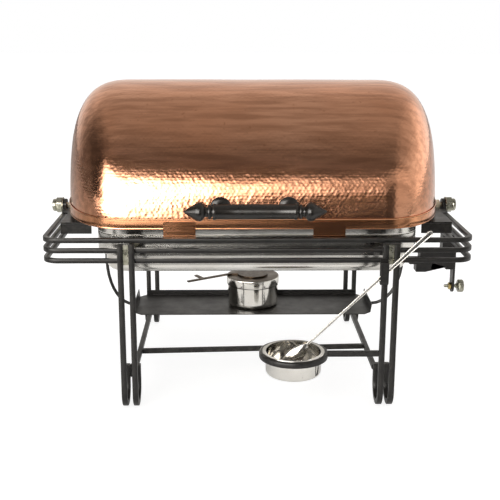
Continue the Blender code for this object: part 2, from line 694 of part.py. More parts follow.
# ---------------------------------------------------------------- cup, its holder and the spoon
def make_cup_holder():
    """A square bar bent into a ring, with its tail running on to the right front leg."""
    half = LEG_BAR / 2
    outer = CUP_RING_RADIUS + half
    start = math.degrees(math.asin(half / outer))
    end_x = LEG_INNER_X - half - GAP - CUP_X
    outline = arc((0, 0), outer, start, 360 - start, 32) + [(end_x, -half), (end_x, half)]
    inner = circle((0, 0), CUP_RING_RADIUS - half, 30)
    z = CUP_RIM_Z - GAP - half
    plate("cup_holder", [outline, inner], LEG_BAR, "iron", FLAT, (CUP_X, -LEG_Y, z))


def make_cup(axis):
    floor = CUP_RIM_Z - CUP_DEPTH
    wall = 0.001
    profile = [(0.0, floor + wall), (CUP_RADIUS - 0.005, floor + wall), (CUP_RADIUS - wall, floor + 0.005),
               (CUP_RADIUS - wall, CUP_RIM_Z), (CUP_RADIUS, CUP_RIM_Z + wall),
               (CUP_RIM_RADIUS, CUP_RIM_Z + wall), (CUP_RIM_RADIUS, CUP_RIM_Z),
               (CUP_RADIUS, CUP_RIM_Z), (CUP_RADIUS, floor + 0.005), (CUP_RADIUS - 0.005, floor),
               (0.0, floor)]
    turned("sauce_cup", profile, "steel", FLAT, (CUP_X, -LEG_Y, 0), steps=36, parent=axis)


def make_spoon(axis):
    """A serving spoon that leans from the cup to its hook: a flat handle and a dished bowl."""
    tip = Vector((0.0390, -0.2405, 0.0755))
    end = Vector((0.2720, -0.2530, 0.3070))
    along = (end - tip).normalized()
    across = along.cross(Vector((0, 1, 0))).normalized()
    face = across.cross(along).normalized()
    length = (end - tip).length
    bowl = 0.056
    bowl_half = 0.013
    bowl_depth = 0.006
    neck = 0.065                    # where the handle starts to widen
    neck_half = 0.0020
    widening = 0.0026
    stations = [bowl * (1 - math.cos(math.pi * step / 20)) / 2 for step in range(1, 19)]
    stations += [neck, 0.085, 0.13, 0.18, 0.24, length - 0.006, length - 0.002, length]
    rows = []
    for s in stations:
        swell = max(0.0, 1 - ((s - bowl / 2) / (bowl / 2)) ** 2)
        half = bowl_half * math.sqrt(swell)
        if s > bowl / 2:
            half = max(half, neck_half + widening * max(0.0, (s - neck) / (length - neck)) ** 2)
        if s > length - 0.005:
            half *= 0.55 if s >= length else 0.9
        dish = bowl_depth * swell
        row = []
        for step in range(9):
            t = -1 + step / 4
            row.append(tuple(tip + along * s + across * (half * t) - face * (dish * (1 - t * t))))
        rows.append(row)
    sheet("serving_spoon", rows, 0.0018, "steel", offset=0, parent=axis)


def make_spoon_hook():
    """A strip bent into an open-topped cradle on the right front leg."""
    leg_face = -(LEG_FACE_Y + GAP)
    inside = 0.004
    strip = 0.002
    width = 0.013
    mid_y = leg_face - strip - inside
    bottom = 0.2252
    lip = mid_y - inside
    lip_z = 0.256
    back_z = 0.262
    outer = arc((mid_y, bottom), inside + strip, 360, 180, 10)
    inner = arc((mid_y, bottom), inside, 180, 360, 10)
    outline = [(leg_face, back_z)] + outer + [(lip - strip, lip_z), (lip, lip_z)]
    outline += inner + [(leg_face - strip, back_z)]
    plate("spoon_hook", [outline], width, "iron", SIDEWAYS, (LEG_INNER_X - 0.003, 0, 0))


# ---------------------------------------------------------------- stop bracket on the right side
def make_stop_bracket():
    """A bracket under the right side rail, its strap, and the nut that the thumbscrew runs in."""
    outer_x = STRAP_X - GAP
    low_z = 0.1865
    top_z = RAIL_BOTTOM_Z - GAP
    outline = [(0.281, 0.1965), (0.2935, 0.1965), (0.2935, 0.182), (0.311, 0.182), (0.3480, 0.1907),
               (0.3480, low_z), (outer_x, low_z), (outer_x, top_z), (0.340, top_z),
               (0.340, 0.222), (0.300, 0.222), (0.300, 0.206), (0.281, 0.206)]
    plate("stop_bracket", [outline], 0.024, "iron", UPRIGHT, (0, SCREW_Y, 0))
    half = 0.011
    strap_top = RAIL_BOTTOM_Z + 0.0017
    hole = circle((SCREW_Y, SCREW_Z), 0.0034, 20)
    edge = arc((SCREW_Y, SCREW_Z), half, 180, 360, 12)
    edge += [(SCREW_Y + half, strap_top), (SCREW_Y - half, strap_top)]
    middle_x = STRAP_X + STRAP_THICKNESS / 2
    plate("stop_strap", [edge, hole], STRAP_THICKNESS, "iron", SIDEWAYS, (middle_x, 0, 0))
    nut_hole = 0.0037
    nut_radius = 0.0068
    nut_outer = STRAP_X - GAP
    nut_inner = nut_outer - 0.0045
    nut = [(nut_hole, nut_outer), (nut_radius, nut_outer), (nut_radius, nut_inner), (nut_hole, nut_inner)]
    turned("strap_nut", nut, "brass", Z_TO_X, (0, SCREW_Y, SCREW_Z), closed=True, steps=6)


def make_thumbscrew(feed_axis, turn_axis):
    centre = (0, SCREW_Y, SCREW_Z)
    neck_x = KNOB_OUTER_X - 0.0137
    shank_end = neck_x - GAP
    thread = 0.0030
    shank = [(0.0, shank_end), (thread, shank_end), (thread, SCREW_X + 0.001),
             (thread - 0.001, SCREW_X), (0.0, SCREW_X)]
    turned("screw_shank", shank, "zinc", Z_TO_X, centre, steps=20, parent=feed_axis)
    neck = 0.0050
    radius = 0.0117
    face = radius - 0.0017
    inner_x = KNOB_OUTER_X - 0.0101
    knob = [(0.0, KNOB_OUTER_X), (face, KNOB_OUTER_X), (radius, KNOB_OUTER_X - 0.0015),
            (radius, inner_x + 0.0015), (face, inner_x), (neck, inner_x - 0.0005), (neck, neck_x),
            (0.0, neck_x)]
    turned("screw_knob", knob, "zinc", Z_TO_X, centre, steps=24, parent=turn_axis)


# ---------------------------------------------------------------- assembly
clear_scene()
PARTS = new_collection("chafing_dish")
CUTTERS = new_collection("cutters")

lid_axis = axis_empty("lid_axis", (0, 0, PIVOT_Z))
water_pan_axis = axis_empty("water_pan_lift_axis", (0, 0, PAN_FLOOR_Z))
food_pan_axis = axis_empty("food_pan_lift_axis", (0, 0, PAN_LEDGE_Z), water_pan_axis)
burner_axis = axis_empty("burner_slide_axis", (BURNER_X, BURNER_Y, TRAY_Z))
damper_axis = axis_empty("damper_axis", (DAMPER_PIVOT_X, BURNER_Y, BURNER_TOP_Z), burner_axis)
cup_axis = axis_empty("cup_lift_axis", (CUP_X, -LEG_Y, CUP_RIM_Z))
spoon_axis = axis_empty("spoon_lift_axis", (CUP_X, -LEG_Y, CUP_RIM_Z), cup_axis)
feed_axis = axis_empty("screw_feed_axis", (SCREW_X, SCREW_Y, SCREW_Z))
knob_axis = axis_empty("screw_turn_axis", (SCREW_X, SCREW_Y, SCREW_Z), feed_axis)

make_rails()
make_legs()
make_leg_ties()
make_stretchers()
make_pivot_plates()
make_pan_ring()
make_tray()
make_tray_arms()
make_lid(lid_axis)
make_rim_band(lid_axis)
make_lid_ears(lid_axis)
make_handle(lid_axis)
make_pivots()
make_water_pan(water_pan_axis)
make_food_pan(food_pan_axis)
make_burner(burner_axis, damper_axis)
make_cup_holder()
make_cup(cup_axis)
make_spoon(spoon_axis)
make_spoon_hook()
make_stop_bracket()
make_thumbscrew(feed_axis, knob_axis)
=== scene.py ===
# Roll-top chafing dish: the finished surfaces, materials, light and camera round the CAD frame.
# Sizes are in metres. Shapes are drawn from the middle of the stand, and CENTRE moves them into place.
import math

import bmesh
import bpy
import numpy as np
from mathutils import Matrix, Vector, noise


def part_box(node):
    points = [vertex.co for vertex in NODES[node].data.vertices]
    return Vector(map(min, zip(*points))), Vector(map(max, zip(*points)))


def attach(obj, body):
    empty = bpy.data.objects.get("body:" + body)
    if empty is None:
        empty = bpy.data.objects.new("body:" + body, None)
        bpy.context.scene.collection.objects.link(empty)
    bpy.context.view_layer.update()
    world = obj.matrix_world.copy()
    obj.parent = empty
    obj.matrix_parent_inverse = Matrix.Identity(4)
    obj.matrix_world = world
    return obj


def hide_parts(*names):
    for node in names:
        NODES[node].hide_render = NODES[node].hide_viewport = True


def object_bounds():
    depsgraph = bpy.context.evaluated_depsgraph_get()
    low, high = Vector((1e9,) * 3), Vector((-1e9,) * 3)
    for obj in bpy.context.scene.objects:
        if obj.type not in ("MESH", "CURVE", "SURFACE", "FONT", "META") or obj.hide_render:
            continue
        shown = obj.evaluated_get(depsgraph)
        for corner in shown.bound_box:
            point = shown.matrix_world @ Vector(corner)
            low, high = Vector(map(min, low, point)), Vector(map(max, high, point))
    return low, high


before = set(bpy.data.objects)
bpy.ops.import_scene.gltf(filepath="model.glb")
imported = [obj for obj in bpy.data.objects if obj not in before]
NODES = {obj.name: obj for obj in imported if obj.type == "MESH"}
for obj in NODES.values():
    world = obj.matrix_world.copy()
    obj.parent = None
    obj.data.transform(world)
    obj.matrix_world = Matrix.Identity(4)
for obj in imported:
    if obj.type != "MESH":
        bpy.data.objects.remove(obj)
cad_low, cad_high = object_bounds()

rail_low, rail_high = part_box("top_rail")
CENTRE = Vector(((rail_low.x + rail_high.x) / 2, (rail_low.y + rail_high.y) / 2, 0))
SIDES = (("left", -1), ("right", 1))
RAIL_INNER_X = (rail_high.x - rail_low.x) / 2 - (rail_high.z - rail_low.z)


def box_of(node):
    """A CAD node's lowest and highest corners, measured from the middle of the stand."""
    low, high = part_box(node)
    return low - CENTRE, high - CENTRE


# -------------------------------- materials
class Graph:
    """A material's node tree. Each call adds a node and returns its output."""

    def __init__(self, name, metallic=0.0):
        self.material = bpy.data.materials.new(name)
        self.material.use_nodes = True
        self.tree = self.material.node_tree
        self.shader = self.tree.nodes["Principled BSDF"]
        self.shader.inputs["Metallic"].default_value = metallic
        self.place = self.add("ShaderNodeTexCoord").outputs["Object"]

    def add(self, kind, **settings):
        node = self.tree.nodes.new(kind)
        for key, value in settings.items():
            setattr(node, key, value)
        return node

    def feed(self, socket, value):
        if isinstance(value, bpy.types.NodeSocket):
            self.tree.links.new(value, socket)
        else:
            socket.default_value = value

    def set(self, **inputs):
        for key, value in inputs.items():
            self.feed(self.shader.inputs[key.replace("_", " ")], value)

    def stretched(self, stretch):
        mapping = self.add("ShaderNodeMapping")
        self.feed(mapping.inputs["Vector"], self.place)
        mapping.inputs["Scale"].default_value = stretch
        return mapping.outputs["Vector"]

    def noise(self, scale, detail=3.0, stretch=(1, 1, 1)):
        texture = self.add("ShaderNodeTexNoise")
        self.feed(texture.inputs["Vector"], self.stretched(stretch))
        texture.inputs["Scale"].default_value = scale
        texture.inputs["Detail"].default_value = detail
        return texture.outputs["Fac"]

    def cells(self, scale, stretch):
        texture = self.add("ShaderNodeTexVoronoi", feature="SMOOTH_F1")
        self.feed(texture.inputs["Vector"], self.stretched(stretch))
        texture.inputs["Scale"].default_value = scale
        return texture.outputs["Distance"]

    def span(self, value, low, high, start=0.0, end=1.0):
        """The value from low to high, spread over start to end."""
        node = self.add("ShaderNodeMapRange")
        for socket, number in zip(node.inputs, (value, low, high, start, end)):
            self.feed(socket, number)
        return node.outputs["Result"]

    def between(self, value, low, high, fade):
        """1 where the value lies between two limits, fading to 0 outside them."""
        return self.times(self.span(value, low - fade, low), self.span(value, high + fade, high))

    def ramp(self, value, stops):
        """A grey level for the value, from (position, level) stops."""
        node = self.add("ShaderNodeValToRGB")
        elements = node.color_ramp.elements
        while len(elements) < len(stops):
            elements.new(0.5)
        for element, (at, level) in zip(elements, stops):
            element.position = at
            element.color = (level, level, level, 1)
        self.feed(node.inputs[0], value)
        return node.outputs[0]

    def mix(self, share, first, second):
        node = self.add("ShaderNodeMix", data_type="RGBA")
        self.feed(node.inputs[0], share)
        self.feed(node.inputs[6], (*first, 1.0) if isinstance(first, tuple) else first)
        self.feed(node.inputs[7], (*second, 1.0) if isinstance(second, tuple) else second)
        return node.outputs[2]

    def times(self, first, second):
        return self.math("MULTIPLY", first, second)

    def math(self, operation, first, second):
        node = self.add("ShaderNodeMath", operation=operation)
        self.feed(node.inputs[0], first)
        self.feed(node.inputs[1], second)
        return node.outputs[0]

    def bump(self, height, distance, strength, under=None):
        node = self.add("ShaderNodeBump")
        node.inputs["Strength"].default_value = strength
        node.inputs["Distance"].default_value = distance
        self.feed(node.inputs["Height"], height)
        if under is not None:
            self.feed(node.inputs["Normal"], under)
        return node.outputs["Normal"]

    def edges(self, low, high):
        """How far a spot stands out from what is round it: 1 on worn outer edges."""
        return self.span(self.add("ShaderNodeNewGeometry").outputs["Pointiness"], low, high)

    def facing_up(self):
        parts = self.add("ShaderNodeSeparateXYZ")
        self.feed(parts.inputs[0], self.add("ShaderNodeNewGeometry").outputs["Normal"])
        return parts.outputs["Z"]


def copper(name, light, dark, rough, grain, dent):
    """Lacquered copper: tone drifts in wide clouds, with fine polishing lines along X."""
    g = Graph(name, metallic=1.0)
    clouds = g.span(g.noise(7.0, 4.0), 0.35, 0.68)
    tone = g.mix(clouds, dark, light)
    streaks = g.span(g.noise(90.0, 4.0, (0.12, 1, 1)), 0.40, 0.64, 0.0, 0.75)
    tone = g.mix(streaks, tone, tuple(0.66 * level for level in dark))
    spots = g.span(g.noise(160.0, 2.0), 0.66, 0.74, 0.0, 0.45)
    tone = g.mix(spots, tone, (0.42, 0.17, 0.08))
    lines = g.noise(420.0, 2.0, (0.03, 1, 1))
    shine = g.math("ADD", g.span(clouds, 0, 1, rough, rough + 0.06), g.span(lines, 0.3, 0.7, 0.0, 0.05))
    relief = g.bump(lines, 0.00002, 0.6)
    relief = g.bump(g.cells(grain, (0.7, 1, 1)), dent, 0.5, relief)
    g.set(Base_Color=tone, Roughness=shine, Normal=relief)
    return g.material


def wrought_iron(name):
    """Blackened iron under a satin lacquer: faint scale, rubbed edges, and patchy dust on top that also
    serves as painted light from above on the upward faces.
    """
    g = Graph(name, metallic=0.2)
    clouds = g.span(g.noise(26.0, 5.0), 0.35, 0.7)
    tone = g.mix(clouds, (0.0060, 0.0056, 0.0052), (0.0110, 0.0100, 0.0090))
    rust = g.span(g.noise(70.0, 6.0), 0.64, 0.76, 0.0, 0.35)
    tone = g.mix(rust, tone, (0.034, 0.021, 0.013))
    worn = g.times(g.edges(0.53, 0.62), g.span(g.noise(120.0, 3.0), 0.40, 0.62))
    tone = g.mix(worn, tone, (0.060, 0.056, 0.050))
    # painted light: the upward faces are lightened in patches, partly as dust and partly as the light that
    # falls on them from above
    dust_and_top_light = g.span(g.noise(45.0, 3.0), 0.3, 0.7, 0.05, 0.30)
    dust_and_top_light = g.times(g.span(g.facing_up(), 0.7, 1.0), dust_and_top_light)
    tone = g.mix(dust_and_top_light, tone, (0.070, 0.064, 0.056))
    shine = g.span(g.noise(60.0, 4.0), 0.3, 0.7, 0.32, 0.44)
    relief = g.bump(g.noise(55.0, 3.0), 0.0008, 0.18)
    relief = g.bump(g.noise(900.0, 3.0), 0.0001, 0.25, relief)
    g.set(Base_Color=tone, Roughness=shine, Normal=relief)
    return g.material


def steel(name, rough, stretch, scorch=0.0):
    """Polished stainless steel with faint drawing lines, wipe marks and dried drops.

    Scorch is how far heat has browned the faces that look up.
    """
    g = Graph(name, metallic=1.0)
    wipes = g.span(g.noise(18.0, 4.0), 0.35, 0.7)
    tone = g.mix(wipes, (0.66, 0.64, 0.60), (0.80, 0.785, 0.75))
    drops = g.span(g.noise(210.0, 2.0), 0.68, 0.74, 0.0, 0.4)
    tone = g.mix(drops, tone, (0.50, 0.47, 0.43))
    lines = g.noise(700.0, 2.0, stretch)
    shine = g.math("ADD", g.span(wipes, 0, 1, rough, rough + 0.06), g.span(lines, 0.35, 0.65, 0.0, 0.06))
    if scorch > 0:
        heat = g.span(g.noise(30.0, 3.0), 0.2, 0.6, 0.8, 1.0)
        heat = g.times(g.span(g.facing_up(), 0.5, 0.95), heat)
        heat = g.times(heat, scorch)
        tone = g.mix(heat, tone, (0.115, 0.085, 0.060))
        shine = g.math("ADD", shine, g.times(heat, 0.22))
    g.set(Base_Color=tone, Roughness=shine, Normal=g.bump(lines, 0.00002, 0.5))
    return g.material


def plated(name, tone_a, tone_b, stain, rough):
    """Plated hardware: a tint that drifts, dull stains and light machining lines."""
    g = Graph(name, metallic=1.0)
    tone = g.mix(g.span(g.noise(90.0, 4.0), 0.35, 0.65), tone_a, tone_b)
    tone = g.mix(g.span(g.noise(260.0, 4.0), 0.58, 0.70, 0.0, 0.7), tone, stain)
    lines = g.noise(1500.0, 2.0, (1, 0.1, 0.1))
    shine = g.span(g.noise(150.0, 3.0), 0.3, 0.7, rough, rough + 0.16)
    g.set(Base_Color=tone, Roughness=shine, Normal=g.bump(lines, 0.00005, 0.5))
    return g.material


def nylon(name):
    g = Graph(name)
    tone = g.mix(g.span(g.noise(120.0, 3.0), 0.3, 0.7), (0.50, 0.42, 0.30), (0.66, 0.58, 0.44))
    relief = g.bump(g.noise(900.0, 2.0), 0.0001, 0.4)
    g.set(Base_Color=tone, Roughness=g.span(g.noise(300.0), 0.3, 0.7, 0.42, 0.6), Normal=relief,
          Subsurface_Weight=0.1)
    return g.material


def lacquer(name):
    """Black lacquer over turned metal: soft gloss, tiny pores and lighter rubbed edges."""
    g = Graph(name, metallic=0.2)
    tone = g.mix(g.span(g.noise(50.0, 4.0), 0.35, 0.7), (0.010, 0.009, 0.008), (0.020, 0.016, 0.013))
    tone = g.mix(g.times(g.edges(0.53, 0.62), 0.5), tone, (0.10, 0.085, 0.070))
    shine = g.span(g.noise(140.0, 3.0), 0.3, 0.7, 0.26, 0.34)
    relief = g.bump(g.noise(500.0, 3.0), 0.00003, 0.3)
    g.set(Base_Color=tone, Roughness=shine, Normal=relief, Coat_Weight=0.2, Coat_Roughness=0.2)
    return g.material


IRON = wrought_iron("iron_blackened")
HAMMERED = copper("copper_hammered", (0.84, 0.43, 0.265), (0.75, 0.345, 0.195), 0.10, 330.0, 0.00010)
BAND = copper("copper_plain", (0.78, 0.38, 0.20), (0.68, 0.30, 0.15), 0.12, 60.0, 0.00002)
PAN_STEEL = steel("steel_pan", 0.10, (0.03, 0.03, 1))
TURNED_STEEL = steel("steel_turned", 0.06, (0.02, 0.02, 1))
HEATED_STEEL = steel("steel_heated", 0.08, (0.02, 0.02, 1), scorch=1.0)
SPOON_STEEL = steel("steel_spoon", 0.12, (1, 1, 0.05))
ZINC = plated("zinc_plate", (0.30, 0.30, 0.23), (0.44, 0.43, 0.37), (0.16, 0.14, 0.10), 0.22)
BRASS = plated("brass_nut", (0.52, 0.38, 0.12), (0.68, 0.52, 0.22), (0.28, 0.19, 0.08), 0.24)
SCORCHED = plated("steel_scorched", (0.080, 0.058, 0.040), (0.130, 0.098, 0.070), (0.045, 0.034, 0.026),
                  0.26)
CAN = plated("can_tinplate", (0.40, 0.40, 0.41), (0.55, 0.55, 0.56), (0.20, 0.19, 0.18), 0.30)
NYLON = nylon("nylon_spacer")
BLACK = lacquer("black_lacquer")


# -------------------------------- mesh helpers
def show(name, points, faces, material, body, nodes, sharp=35):
    """Makes a piece from its points and faces, puts it on its body and hides the CAD nodes."""
    mesh = bpy.data.meshes.new(name)
    mesh.from_pydata([tuple(p) for p in points], [], faces)
    mesh.validate()
    mesh.materials.append(material)
    mesh.shade_smooth()
    mesh.set_sharp_from_angle(angle=math.radians(sharp))
    piece = bpy.data.objects.new(name, mesh)
    piece.location = CENTRE
    bpy.context.scene.collection.objects.link(piece)
    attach(piece, body)
    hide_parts(*nodes)
    return piece


def grid_faces(rows, columns, wrap=False, close=False):
    """Quads over points that are stored row by row.

    Wrap joins the two ends of each row, and close joins the last row to the first.
    """
    faces = []
    for row in range(rows if close else rows - 1):
        low = row * columns
        high = (row + 1) % rows * columns
        for column in range(columns if wrap else columns - 1):
            after = (column + 1) % columns
            faces.append((low + column, low + after, high + after, high + column))
    return faces


def thicken(piece, thickness, offset):
    solid = piece.modifiers.new("Sheet", "SOLIDIFY")
    solid.thickness = thickness
    solid.offset = offset


def soften(piece, width):
    bevel = piece.modifiers.new("Edges", "BEVEL")
    bevel.width = width
    bevel.segments = 2
    bevel.limit_method = "ANGLE"
    bevel.angle_limit = math.radians(32)
    bevel.harden_normals = True


def arc(centre, radius, start, end, segments):
    """Points on an arc, from start to end in degrees."""
    angles = np.radians(np.linspace(start, end, segments + 1))
    return [(centre[0] + radius * math.cos(a), centre[1] + radius * math.sin(a)) for a in angles]


def rounded_rectangle(half_x, half_y, radius, segments, centre=(0, 0)):
    points = []
    for quarter, (sx, sy) in enumerate(((1, 1), (-1, 1), (-1, -1), (1, -1))):
        corner = (centre[0] + sx * (half_x - radius), centre[1] + sy * (half_y - radius))
        points += arc(corner, radius, quarter * 90, quarter * 90 + 90, segments)
    return points


def curve_through(points, steps=5):
    """A smooth line through the points of a profile (Catmull-Rom)."""
    p = [np.array(point, float) for point in points]
    p = [2 * p[0] - p[1]] + p + [2 * p[-1] - p[-2]]
    line = []
    for a, b, c, d in zip(p, p[1:], p[2:], p[3:]):
        for step in range(steps):
            t = step / steps
            line.append(0.5 * (2 * b + (c - a) * t + (2 * a - 5 * b + 4 * c - d) * t ** 2
                               + (3 * b - a - 3 * c + d) * t ** 3))
    return line + [p[-2]]


def turned(name, profile, turn, centre, material, body, nodes, steps, shape=None):
    """Turns (radius, height) points about Z; shape(angle, radius, height) may alter the radius.

    A profile whose ends are both on the axis closes itself, and any other profile is joined up.
    """
    on_axis = profile[0][0] == 0 and profile[-1][0] == 0
    inner = profile[1:-1] if on_axis else profile
    points = []
    for radius, height in inner:
        for step in range(steps):
            angle = 2 * math.pi * step / steps
            r = radius if shape is None else shape(angle, radius, height)
            points.append((r * math.cos(angle), r * math.sin(angle), height))
    faces = grid_faces(len(inner), steps, wrap=True, close=not on_axis)
    if on_axis:
        last = (len(inner) - 1) * steps
        points += [(0, 0, profile[0][1]), (0, 0, profile[-1][1])]
        for step in range(steps):
            after = (step + 1) % steps
            faces.append((len(points) - 2, after, step))
            faces.append((len(points) - 1, last + step, last + after))
    matrix = Matrix.Translation(centre) @ turn
    points = [matrix @ Vector(p) for p in points]
    face_outward(show(name, points, faces, material, body, nodes))


def face_outward(piece):
    shape = bmesh.new()
    shape.from_mesh(piece.data)
    bmesh.ops.recalc_face_normals(shape, faces=shape.faces)
    shape.to_mesh(piece.data)
    shape.free()


BAR_CORNER = 0.0009             # radius of the iron bars' long edges
FORGED = 0.00012                # how far the forging has left the bars uneven
FORGE_SEED = 7
noise.seed_set(FORGE_SEED)      # unseeded, noise_vector gives other values in each run


def bar(name, path, normal, size, nodes, closed=False):
    """A square iron bar of the stand, swept along a path that is flat and square to the normal."""
    section = rounded_rectangle(size / 2, size / 2, BAR_CORNER, 2)
    path = [Vector(p) for p in path]
    normal = Vector(normal)
    count = len(path)
    points = []
    for i, spot in enumerate(path):
        before = path[i - 1] if closed or i > 0 else path[0]
        after = path[(i + 1) % count] if closed or i < count - 1 else path[-1]
        back = (spot - before).normalized() if (spot - before).length > 0 else (after - spot).normalized()
        ahead = (after - spot).normalized() if (after - spot).length > 0 else back
        along = (back + ahead).normalized()
        side = along.cross(normal).normalized()
        mitre = 1 / max(0.5, along.dot(ahead))
        for a, b in section:
            point = spot + side * (a * mitre) + normal * b
            points.append(point + noise.noise_vector(point * 70) * FORGED)
    columns = len(section)
    faces = grid_faces(count, columns, wrap=True, close=closed)
    if not closed:
        faces.append(tuple(reversed(range(columns))))
        faces.append(tuple(range((count - 1) * columns, count * columns)))
    face_outward(show(name, points, faces, IRON, "frame", nodes, sharp=50))


def spread(start, end, spacing):
    """Points from start up to, but without, end, about this far apart."""
    start, end = Vector(start), Vector(end)
    steps = max(1, round((end - start).length / spacing))
    return [start.lerp(end, step / steps) for step in range(steps)]


# -------------------------------- lid
dome_low, dome_high = box_of("lid_shell")
RIM_Z = dome_low.z
LID_X = (dome_low.x + dome_high.x) / 2
HALF_LENGTH = (dome_high.x - dome_low.x) / 2
HALF_DEPTH = dome_high.y
DOME_HEIGHT = dome_high.z - dome_low.z
NOSE = 0.119                    # length of each rounded end
PLAN_POWER = 2.1                # roundness of the ends seen from above
SIDE_POWER = 3.1                # roundness of the ends seen from the front
STRAIGHT = HALF_LENGTH - NOSE
SHEET = 0.0010                  # thickness of the dome
DENT_ALONG = 0.0068             # spacing of the hammer marks in a row
DENT_ACROSS = 0.0048            # spacing of the rows
DENT_DEPTH = 0.00018
LID_STEP = 0.0014               # spacing of the dome's points
LID_INSET = 0.00034             # room that the waves need inside the CAD shell
WAVE_FADE = 0.02                # width of the edge strip where the waves die out


def plan_share(share):
    return np.maximum(0.0, 1 - share ** PLAN_POWER) ** (1 / PLAN_POWER)


def side_share(share):
    return np.maximum(0.0, 1 - share ** SIDE_POWER) ** (1 / SIDE_POWER)


def dome_face_y(z):
    """Where the front of the dome's straight part stands at a height."""
    level = (z - RIM_Z) / DOME_HEIGHT
    return -HALF_DEPTH * math.sqrt(1 - level * level)


def hammer_marks(u, v):
    """Depth of the nearest hammer mark at distances u along the lid and v across it."""
    rng = np.random.default_rng(7)
    tile = 256
    jitter = rng.uniform(-0.5, 0.5, (4, tile, tile))
    row = np.floor(v / DENT_ACROSS).astype(int)
    deepest = np.zeros_like(u)
    for down in (-1, 0, 1):
        r = row + down
        shift = 0.5 * (r % 2)
        cell = np.floor(u / DENT_ALONG - shift).astype(int)
        for over in (-1, 0, 1):
            c = cell + over
            jx, jy, size, deep = (table[r % tile, c % tile] for table in jitter)
            du = (u - (c + 0.5 + shift + 0.45 * jx) * DENT_ALONG) / (DENT_ALONG * (0.72 + 0.25 * size))
            dv = (v - (r + 0.5 + 0.18 * jy) * DENT_ACROSS) / (DENT_ACROSS * (0.74 + 0.2 * size))
            mark = np.maximum(0.0, 1 - du ** 2 - dv ** 2) * (1 + 0.7 * deep)
            deepest = np.maximum(deepest, mark)
    return deepest * DENT_DEPTH


def ripple(x, y, z):
    """Slow waves that a hand-raised sheet keeps."""
    wave = np.sin(31 * x + 17 * z + 1.3) * np.sin(23 * z - 19 * y + 0.4)
    return 0.00022 * wave + 0.00012 * np.sin(67 * x - 29 * y) * np.sin(53 * z + 0.8)


def dome_stations():
    """Place, share of the rounded end and distance along the ridge for each row of the dome's points."""
    fine = np.linspace(0, math.pi / 2, 6000)
    share = np.sin(fine)
    ridge_x = NOSE * share
    ridge_z = DOME_HEIGHT * side_share(share)
    run = np.concatenate([[0], np.cumsum(np.hypot(np.diff(ridge_x), np.diff(ridge_z)))])
    end_steps = round(run[-1] / LID_STEP)
    end_shares = np.interp(np.linspace(0, run[-1], end_steps + 1), run, share)
    straight_steps = round(STRAIGHT / LID_STEP)
    straight_x = np.linspace(0, STRAIGHT, straight_steps + 1)[:-1]
    half_x = np.concatenate([straight_x, STRAIGHT + NOSE * end_shares])
    half_share = np.concatenate([np.zeros(straight_steps), end_shares])
    x = np.concatenate([-half_x[::-1], half_x[1:]])
    share = np.concatenate([half_share[::-1], half_share[1:]])
    u = (np.arange(len(x)) - (len(x) - 1) / 2) * LID_STEP
    return x[1:-1], share[1:-1], u[1:-1]


def upward_normals(points):
    """The normals of a grid of points, on the side that is up in the grid's middle."""
    normal = np.cross(np.gradient(points, axis=0), np.gradient(points, axis=1))
    normal /= np.maximum(np.linalg.norm(normal, axis=2, keepdims=True), 1e-12)
    rows, columns = normal.shape[:2]
    return normal * np.sign(normal[rows // 2, columns // 2, 2])


def make_dome():
    """The hammered sheet, in rows of points that run from its front edge over to its rear edge."""
    x, share, u = dome_stations()
    columns = round(math.pi / 2 * (HALF_DEPTH + DOME_HEIGHT) / LID_STEP) + 1
    angle = np.linspace(0, math.pi, columns)
    depth = (HALF_DEPTH * plan_share(share))[:, None]
    height = (DOME_HEIGHT * side_share(share))[:, None]
    y = -depth * np.cos(angle)
    z = height * np.sin(angle)
    x = np.repeat(x[:, None], columns, axis=1)
    step_y = np.diff(y, axis=1, prepend=y[:, :1])
    step_z = np.diff(z, axis=1, prepend=z[:, :1])
    girth = np.cumsum(np.hypot(step_y, step_z), axis=1)
    u = np.repeat(u[:, None], columns, axis=1)

    points = np.stack([x + LID_X, y, z + RIM_Z], axis=2)
    fade = np.clip(girth / WAVE_FADE, 0, 1) * np.clip((girth[:, -1:] - girth) / WAVE_FADE, 0, 1)
    sink = hammer_marks(u, girth) + LID_INSET + ripple(x, y, z) * fade
    points = points - upward_normals(points) * sink[:, :, None]

    rows = points.shape[0]
    flat = points.reshape(-1, 3)
    tip_inset = 0.0005
    reach = HALF_LENGTH - tip_inset
    tips = [(LID_X - reach, 0, RIM_Z), (LID_X + reach, 0, RIM_Z)]
    faces = grid_faces(rows, columns)
    first_tip = len(flat)
    last = (rows - 1) * columns
    for column in range(columns - 1):
        faces.append((first_tip, column + 1, column))
        faces.append((first_tip + 1, last + column, last + column + 1))
    dome = show("lid_dome", np.concatenate([flat, tips]), faces, HAMMERED, "lid", ["lid_shell"],
                sharp=60)
    face_outward(dome)
    if dome.data.polygons[(rows // 2) * (columns - 1) + columns // 2].normal.z < 0:
        dome.data.flip_normals()
    thicken(dome, SHEET, -1)


def lid_outline(height):
    """The dome's closed outline in plan at a height above its rim."""
    end_points = 44
    straight_points = 12
    level = max(height, 0.0) / DOME_HEIGHT
    reach = (1 - level ** SIDE_POWER) ** (1 / SIDE_POWER)
    share = reach * np.sin(np.linspace(0, math.pi / 2, end_points))
    half = HALF_DEPTH * plan_share(share)
    inside = np.maximum(0.0, 1 - (level / np.maximum(side_share(share), 1e-6)) ** 2)
    quarter = [(x, half[0] * math.sqrt(inside[0])) for x in np.linspace(0, STRAIGHT, straight_points)[:-1]]
    quarter += list(zip(STRAIGHT + NOSE * share, half * np.sqrt(inside)))
    quarter[-1] = (quarter[-1][0], 0.0)
    front_right = [(x, -y) for x, y in quarter]
    back_right = [(x, y) for x, y in reversed(quarter[:-1])]
    back_left = [(-x, y) for x, y in quarter[1:]]
    front_left = [(-x, -y) for x, y in reversed(quarter[1:-1])]
    return np.array(front_right + back_right + back_left + front_left)


